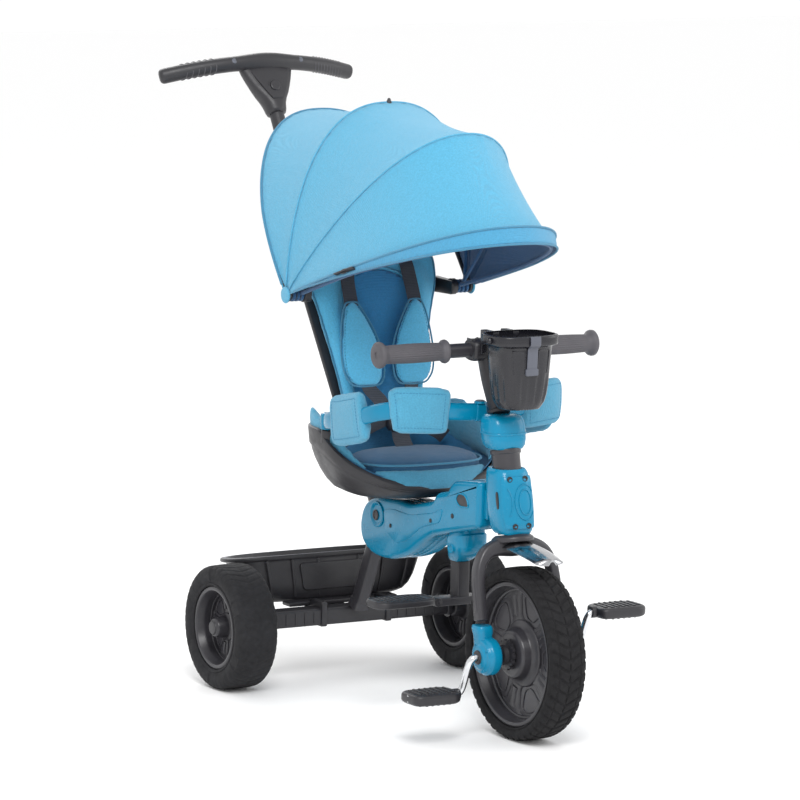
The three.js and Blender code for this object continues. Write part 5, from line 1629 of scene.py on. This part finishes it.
def make_harness():
    """The shoulder pads, the webbing and the buckle."""
    for name, sign in SIDES.items():
        rings = []
        pts = [(58, 196, 9), (58, 192, 14), (56, 176, 22), (51, 148, 32), (47, 115, 39), (45, 85, 38),
               (43, 70, 32), (42, 62, 20)]
        for x, up, half in pts:
            rings.append([on_back(sign * x + a, up, 13 + b) for a, b in oval(half - 3, 6.4, 3, 28)])
        edge = [on_back(sign * x + (half - 7), up, 19) for x, up, half in pts[1:-1]]
        edge2 = [on_back(sign * x - (half - 7), up, 19) for x, up, half in pts[1:-1]]
        # The pad's paler cloth is painted light against the canopy's shade.
        piece = build("shoulder_cushion_" + name, [skin(rings)], PAINTED_LIGHT_CLOTH, None)
        swell(piece, 0.005, 3.0, 0.005, [edge, edge2], 0.0022, 0.0012)
        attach(piece, "frame")
        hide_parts("shoulder_pad_" + name)
        lines = [[drop_on(piece, p, -BACK_OUT, 0.0004) for p in line] for line in (edge, edge2)]
        build("shoulder_stitching_" + name, stitches(lines), THREAD, "frame")
        rim_line = [on_back(sign * x + half - 1.5, up, 13) for x, up, half in pts]
        rim_line += [on_back(sign * x - half + 1.5, up, 13) for x, up, half in reversed(pts)]
        piping("shoulder_piping_" + name, rim_line, "frame", radius=1.5, count=120)
        # Webbing comes out above the pad, goes over the cushion's top edge, and out below to the buckle.
        top = [on_back(sign * 54, 262, -3), on_back(sign * 55, 250, 1.5), on_back(sign * 57, 232, 4),
               on_back(sign * 58, 208, 9), on_back(sign * 58, 190, 13)]
        low = [on_back(sign * 41, 70, 13), on_back(sign * 38, 56, 14), at(sign * 32, 402, 474),
               at(sign * 26, 398, 462), at(sign * 17, 395, 455)]
        lap = [at(sign * 20, 393, 444), at(sign * 40, 396, 436), at(sign * 64, 402, 424),
               at(sign * 84, 408, 414), at(sign * 96, 412, 406)]
        flat = lambda line, way: sweep(line, steady(12.5, 0.9, 6), 40, 20, way)
        shapes = [flat(top, BACK_OUT), flat(low, BACK_OUT),
                  sweep(lap, steady(0.9, 12.5, 6), 40, 20, Vector((0, -0.35, 1)))]
        build("harness_webbing_" + name, shapes, WEBBING, "frame")
    crotch = [at(0, 374, 401), at(0, 381, 407), at(0, 386, 414), at(0, 389, 424)]
    build("crotch_webbing", [sweep(crotch, steady(16, 1.1, 6), 30, 20, Vector((0, -0.6, 0.8)))], WEBBING,
          "frame", ["crotch_strap"])
    make_buckle()


def make_buckle():
    """The harness buckle and its button."""
    y, z = 392, 446
    rings = []
    for dz, half_a, half_b, dy in ((-22, 17, 7, 0), (-21.4, 19, 8.4, 0), (-18, 21.5, 9.6, 0),
                                   (-12, 23.8, 10.8, 0), (0, 24, 11, 1.5),
                                   (14, 23.8, 11, 3), (20, 21.5, 10, 3.6), (23.4, 19, 8.4, 4),
                                   (24, 17, 7, 4)):
        rings.append([at(a, y + dy + b, z + dz) for a, b in oval(half_a, half_b, 3.4, 56)])
    shell = skin(rings)
    collar = turned([(11, 8.7), (11, 12), (12.3, 12), (12.9, 11), (12.9, 8.7)], at(0, y, z), 48, (0, -1, 0),
                    closed=True)
    build("buckle_body", [shell, collar], DARK_SHELL, "frame", ["harness_buckle"])
    button = [(9, 7.6), (12.4, 7.9), (13.2, 7), (12.8, 4), (12.6, 0.5)]
    build("buckle_button_cap", [turned(button, at(0, y + 1, z), 40, (0, -1, 0))], GREY_SHELL,
          "buckle_button", ["buckle_button"])


# ---------------------------------------------------------------- safety bar
BAR_PATH = [(144, 368, 450), (160, 335, 456), (165, 285, 464), (165, 230, 476), (159, 184, 489),
            (138, 152, 496), (100, 138, 495), (50, 131, 491), (1.5, 128, 488)]


def bar_line(sign, start=0.0, end=1.0, count=60):
    """The line that one arm of the safety bar follows."""
    line = smooth_line([at(sign * x, y, z) for x, y, z in BAR_PATH], 241)
    picked = []
    for k in range(count):
        place = lerp(start, end, k / (count - 1)) * 240
        i = min(int(place), 239)
        picked.append(line[i].lerp(line[i + 1], place - i))
    return picked


def make_safety_bar():
    """The two arms of the safety bar, their pads and the latch button."""
    for name, sign in SIDES.items():
        body = "safety_bar_" + name
        arm = sweep(bar_line(sign, 0.025, 0.992), lambda t: (7 - 0.6 * (t > 0.985), 13, 2.8), 150, 32, UP,
                    ends=0)
        ridge = sweep([p + Vector((0, 0, 13.2)) * MM for p in bar_line(sign, 0.04, 0.97)],
                      steady(2.6, 1.0, 2), 140, 12, UP, ends=1)
        hub = turned(rounded([(-13, 2), (-13, 9), (-12, 11.6), (12, 11.6), (13, 9), (13.4, 6), (12, 5.4),
                              (12, 0.5)], 1.2, 3),
                     at(sign * 144, 368, 450), 56, UP)
        latch = sweep(bar_line(sign, 0.955, 0.992), steady(8.4, 14.4, 3), 12, 32, UP, ends=1.2)
        parts = [arm, ridge, hub, latch]
        if name == "right":
            low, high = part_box("bar_button")
            ring = [(-2.8, 7.5), (-2.8, 9.4), (0.2, 9.0), (0.7, 8.3), (0.5, 7.5)]
            parts.append(turned(ring, (low + high) / 2, 40, UP, closed=True))
        build("bar_arm_" + name, parts, BLUE_SHELL, body, ["safety_bar_" + name])
        for place, (start, end), tall in (("side", (0.155, 0.43), 46), ("front", (0.58, 0.83), 42)):
            make_bar_pad(place, name, sign, start, end, tall, body)
    low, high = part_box("bar_button")
    centre = (low + high) / 2
    profile = [(0.1, 1), (0.1, 6.9), (1.3, 6.9), (2.0, 6.2), (2.2, 5), (2.0, 0.5)]
    build("bar_button_cap", [turned(profile, centre, 40, UP)], GREY_SHELL, "bar_button",
          ["bar_button"])


def make_bar_pad(place, name, sign, start, end, tall, body):
    """A sleeve of padded cloth wrapped round the bar, with a stitched oblong on each face."""
    line = bar_line(sign, start, end, 25)
    rings = []
    for i, point in enumerate(line):
        t = i / 24
        ahead = (line[min(i + 1, 24)] - line[max(i - 1, 0)]).normalized()
        across = ahead.cross(UP).normalized()
        up = across.cross(ahead)
        size = (1 - 0.13 * abs(2 * t - 1) ** 6)
        rings.append([point + (across * a + up * b) * MM
                      for a, b in oval(10.6 * size, (tall - 5) * size, 3.2, 32)])
    seams = []
    for face in (-1, 1):
        corners = [(0.13, -0.64), (0.87, -0.64), (0.87, 0.64), (0.13, 0.64), (0.13, -0.64)]
        seam = []
        for (a0, b0), (a1, b1) in zip(corners, corners[1:]):
            for k in range(8):
                t, v = lerp(a0, a1, k / 8), lerp(b0, b1, k / 8)
                index = int(round(t * 24))
                ahead = (line[min(index + 1, 24)] - line[max(index - 1, 0)]).normalized()
                across = ahead.cross(UP).normalized()
                spot = line[index]
                if t * 24 > index:
                    spot = spot.lerp(line[min(index + 1, 24)], t * 24 - index)
                seam.append(spot + across * face * 10.6 * MM + across.cross(ahead) * v * tall * MM)
        seam.append(seam[0])
        seams.append(seam)
    piece = build("bar_sleeve_%s_%s" % (place, name), [skin(rings)], PAD_CLOTH, None)
    swell(piece, 0.005, 3.2, 0.006, seams, 0.0028, 0.0016)
    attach(piece, body)
    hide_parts("bar_pad_%s_%s" % (place, name))
    threads = []
    for face, seam in zip((-1, 1), seams):
        ahead = (line[13] - line[11]).normalized()
        across = ahead.cross(UP).normalized() * face
        threads.append([drop_on(piece, p, -across, 0.0003) for p in seam])
    build("bar_stitching_%s_%s" % (place, name), stitches(threads), THREAD, body)


# ---------------------------------------------------------------- canopy
HINGE = Vector(JOINTS["canopy_middle_fold"]["pos_m"])
BOW_TUBE = 3.2
LEG_X = {"rear": 166.5, "middle": 159, "front": 151.5, "brim": 144}
SQUARE = {"rear": 2.3, "middle": 2.4, "front": 2.16, "brim": 2.3}
CLOTH_LEG = 169


def read_bow(name):
    """A bow's lean, height and half width, from its solid's box."""
    low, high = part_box("canopy_bow_" + name)
    rise = (high.z - HINGE.z) / MM - BOW_TUBE
    back = (high.y - HINGE.y) / MM - BOW_TUBE
    ahead = (HINGE.y - low.y) / MM - BOW_TUBE
    along = back if back > ahead else -ahead
    return {
        "lean": math.atan2(along, rise),
        "height": math.hypot(along, rise) + 8,
        "width": (high.x - low.x) / 2 / MM + 4.8,
        "square": SQUARE[name],
        "leg": LEG_X[name],
    }


BOWS = {name: read_bow(name) for name in LEG_X}


def bow_point(bow, turn, grow=0.0, leg=CLOTH_LEG, drop=0.0):
    """A point of a bow: turn runs from 0 on the right to pi on the left."""
    c = math.cos(turn)
    reach = abs(math.sin(turn)) ** (2 / bow["square"])
    wide = leg + (bow["width"] - leg) * clamp(reach / 0.45) ** 1.2
    x = -math.copysign(abs(c) ** (2 / bow["square"]), c) * (wide + grow)
    r = reach * (bow["height"] + grow)
    lean = bow["lean"] + drop
    return HINGE + Vector((x, r * math.sin(lean), r * math.cos(lean))) * MM


def make_bows():
    """The canopy's four bows."""
    for name, bow in BOWS.items():
        body = "frame" if name == "rear" else "canopy_" + name
        line = [bow_point(bow, lerp(0.06, math.pi - 0.06, k / 48), -8, bow["leg"] + 8) for k in range(49)]
        for sign, end in ((-1, 0), (1, -1)):
            tip = Vector((sign * bow["leg"] * MM, HINGE.y, HINGE.z))
            if end == 0:
                line.insert(0, tip)
            else:
                line.append(tip)
        parts = [sweep(line, lambda t: (BOW_TUBE, BOW_TUBE, 2), 220, 16, Y)]
        for sign in (-1, 1):
            eye = rounded([(-2.2, 5.4), (-2.2, 11), (2.2, 11), (2.2, 5.4)], 0.8, 3, closed=True)
            centre = Vector((sign * bow["leg"] * MM, HINGE.y, HINGE.z))
            parts.append(turned(eye, centre, 48, closed=True))
        build("bow_rod_" + name, parts, NAVY_AND_SHADE_CLOTH if name != "rear" else DARK_SATIN, body,
              ["canopy_bow_" + name])


def span_between(first, second, hollow, rows, columns, low_turn, high_turn):
    """A grid of points of the cloth between two bows; it hollows between them and puckers near them."""
    grid = []
    for k in range(rows + 1):
        t = k / rows
        row = []
        for i in range(columns + 1):
            turn = lerp(low_turn, high_turn, i / columns)
            point = bow_point(first, turn).lerp(bow_point(second, turn), t)
            sag = hollow * 4 * t * (1 - t) * math.sin(turn) ** 0.7
            away = Vector((point.x * 0.3, point.y - HINGE.y, point.z - HINGE.z)).normalized()
            near = math.exp(-min(t, 1 - t) / 0.10)
            pucker = 0.7 * near * math.sin(turn * 61 + 3 * t) * math.sin(turn * 17 + 1)
            sway = noise.noise(Vector((turn * 2.6, t * 2.1, first["lean"] * 3)))
            ease = 1.6 * sway * math.sin(math.pi * clamp(t))
            ridge = 1.7 * math.exp(-(min(t, 1 - t) / 0.022) ** 2)
            row.append(point + away * (ridge - sag + pucker + ease) * MM)
        grid.append(row)
    return grid


def grid_mesh(name, grid):
    """A mesh over rows of points."""
    columns = len(grid[0])
    vertices = [point for row in grid for point in row]
    faces = []
    for r in range(len(grid) - 1):
        for c in range(columns - 1):
            a = r * columns + c
            faces.append((a, a + 1, a + 1 + columns, a + columns))
    mesh = bpy.data.meshes.new(name)
    mesh.from_pydata(vertices, [], faces)
    for polygon in mesh.polygons:
        polygon.use_smooth = True
    return mesh


def cloth_sheet(name, grid, outer, inner, thick=1.3):
    """A sheet of cloth over a grid of points; its inner face takes a darker cloth, which is painted shade.
    """
    mesh = grid_mesh(name, grid)
    piece = bpy.data.objects.new(name, mesh)
    bpy.context.scene.collection.objects.link(piece)
    mesh.materials.append(outer)
    mesh.materials.append(inner)
    outside = mesh.polygons[len(mesh.polygons) // 2]
    if outside.normal.dot(outside.center - HINGE) < 0:
        mesh.flip_normals()
    solid = piece.modifiers.new("thick", "SOLIDIFY")
    solid.thickness = thick * MM
    solid.offset = -1
    # The inner face takes the second, darker material: painted shade.
    solid.material_offset = 1
    solid.material_offset_rim = 0
    return piece


def make_canopy():
    """The canopy: its bows, its three cloths and its trim."""
    make_bows()
    spans = (
        ("rear", "rear", "middle", 8, "frame", "canopy_middle"),
        ("middle", "middle", "front", 9, "canopy_middle", "canopy_front"),
        ("front", "front", "brim", 9, "canopy_front", "canopy_brim"),
    )
    for name, first, second, hollow, body_a, body_b in spans:
        grid = span_between(BOWS[first], BOWS[second], hollow, 34, 170, 0.02, math.pi - 0.02)
        # Inside, the navy cloth is painted shade.
        piece = cloth_sheet("canopy_cloth_" + name, grid, SKY_CLOTH, NAVY_AND_SHADE_CLOTH)
        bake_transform(piece)
        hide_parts("canopy_panel_" + name)
    make_canopy_trim()


def make_canopy_trim():
    """The band and piping at the rear edge, the seams on the bows, and the stiff brim band."""
    for name in ("middle", "front"):
        line = [bow_point(BOWS[name], lerp(0.04, math.pi - 0.04, k / 90), 1.6) for k in range(91)]
        piping("canopy_seam_" + name, line, "canopy_" + name, SKY_CLOTH, 1.5, False, 220)
    rear = BOWS["rear"]
    line = [bow_point(rear, lerp(0.04, math.pi - 0.04, k / 90), 1.4) for k in range(91)]
    piping("canopy_rear_piping", line, "frame", PIPING_CLOTH, 2.2, False, 220)
    grid = []
    for k in range(7):
        t = k / 6
        row = []
        for i in range(121):
            turn = lerp(0.04, math.pi - 0.04, i / 120)
            row.append(bow_point(rear, turn, 0.6 - 3.0 * t + math.sin(math.pi * t),
                                 drop=0.052 * t * math.sin(turn) ** 0.5))
        grid.append(row)
    band = cloth_sheet("canopy_rear_band", grid, SKY_CLOTH, NAVY_AND_SHADE_CLOTH)
    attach(band, "frame")
    brim = BOWS["brim"]
    grid = []
    for k in range(9):
        t = k / 8
        row = []
        for i in range(141):
            turn = lerp(0.05, math.pi - 0.05, i / 140)
            row.append(bow_point(brim, turn, 1.8, drop=0.060 * (1 - t) * math.sin(turn) ** 0.4 - 0.006))
        grid.append(row)
    band = cloth_sheet("canopy_brim_band", grid, BAND_CLOTH, NAVY_AND_SHADE_CLOTH, 1.6)
    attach(band, "canopy_brim")
    for name, drop in (("upper", 0.054), ("lower", -0.008)):
        line = []
        for k in range(91):
            turn = lerp(0.05, math.pi - 0.05, k / 90)
            line.append(bow_point(brim, turn, 2.2, drop=drop * math.sin(turn) ** 0.4))
        piping("canopy_brim_piping_" + name, line, "canopy_brim", PIPING_CLOTH, 1.8, False, 220)
    for name, sign in SIDES.items():
        make_canopy_bracket(name, sign)
        corner = [(167.8, 9), (168.4, 12.6), (170.4, 13.4), (171.6, 12.6), (172.2, 9), (172.4, 0.5)]
        build("canopy_corner_" + name, [turned([(sign * x, r) for x, r in corner],
                                               Vector((0, HINGE.y, HINGE.z)), 56)], SKY_CLOTH,
              "frame")
    hook = []
    for turn in (0.34, 0.38, 0.42, 0.46):
        hook.append(bow_point(brim, turn, 4.0, drop=0.022))
    loop = sweep(hook, steady(4.5, 1.2, 4), 24, 16, Y, ends=1)
    ring = [bow_point(brim, 0.40 + 0.022 * math.cos(a), 5.6, drop=0.022 + 0.014 * math.sin(a)) for a in
            [math.tau * k / 20 for k in range(20)]]
    build("canopy_side_hook", [loop, sweep(ring, steady(1, 1, 2), 60, 10, Y, closed=True)], DARK_SHELL,
          "canopy_brim")
    pin = bow_point(BOWS["middle"], math.pi / 2, 1.0)
    away = (pin - HINGE).normalized()
    build("canopy_top_pin", [turned([(-2, 1), (-2, 4.5), (1.5, 4.5), (3.5, 3), (5.5, 2.6), (7, 1.8),
                                     (7.4, 0.4)], pin, 28, away)], DARK_SHELL,
          "canopy_middle")


def make_canopy_bracket(name, sign):
    """The bracket that carries the canopy's hinge on one side."""
    low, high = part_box("canopy_bracket_" + name)
    z0, z1 = low.z / MM, high.z / MM
    y1 = (high.y - AXLE.y) / MM
    hinge_y = (HINGE.y - AXLE.y) / MM
    hinge_z = HINGE.z / MM
    arm = rounded([(hinge_y - 12, z0 + 2), (y1, z0), (y1, z1), (hinge_y - 12, z1 - 2)], 7, 5, closed=True)
    parts = [slab(arm, sign * 128.4, sign * 138.8, sign * 1.6, from_side)]
    lug = rounded([(sign * 99, z0), (sign * 138, z0), (sign * 138, z1), (sign * 99, z1)], 5, 4, closed=True)
    parts.append(slab(lug, y1 - 8.6, y1 - 0.2, 1.5, from_front))
    parts.append(turned([(sign * 132, 2), (sign * 132, 13), (sign * 139.6, 13), (sign * 140.6, 12),
                         (sign * 140.6, 4.8), (sign * 170, 4.8),
                         (sign * 170.8, 4), (sign * 171, 0.5)], at(0, hinge_y, hinge_z), 48))
    build("canopy_bracket_arm_" + name, parts, DARK_SHELL, "frame",
          ["canopy_bracket_" + name])


# ---------------------------------------------------------------- the whole tricycle
make_camera()
make_studio()
make_wheels()
make_crank()
for side_name, side_sign in SIDES.items():
    make_pedal(side_name, side_sign)
make_fork()
for side_name, side_sign in SIDES.items():
    make_fork_cap(side_name, side_sign)
make_mudguard()
make_steering()
make_main_frame()
make_head()
make_footrests()
make_rear()
make_push_handle()
make_seat()
make_backrest()
make_harness()
make_safety_bar()
make_canopy()
axle = frame["nodes"]["rear_axle"]
axle.data.materials.clear()
axle.data.materials.append(CHROME)
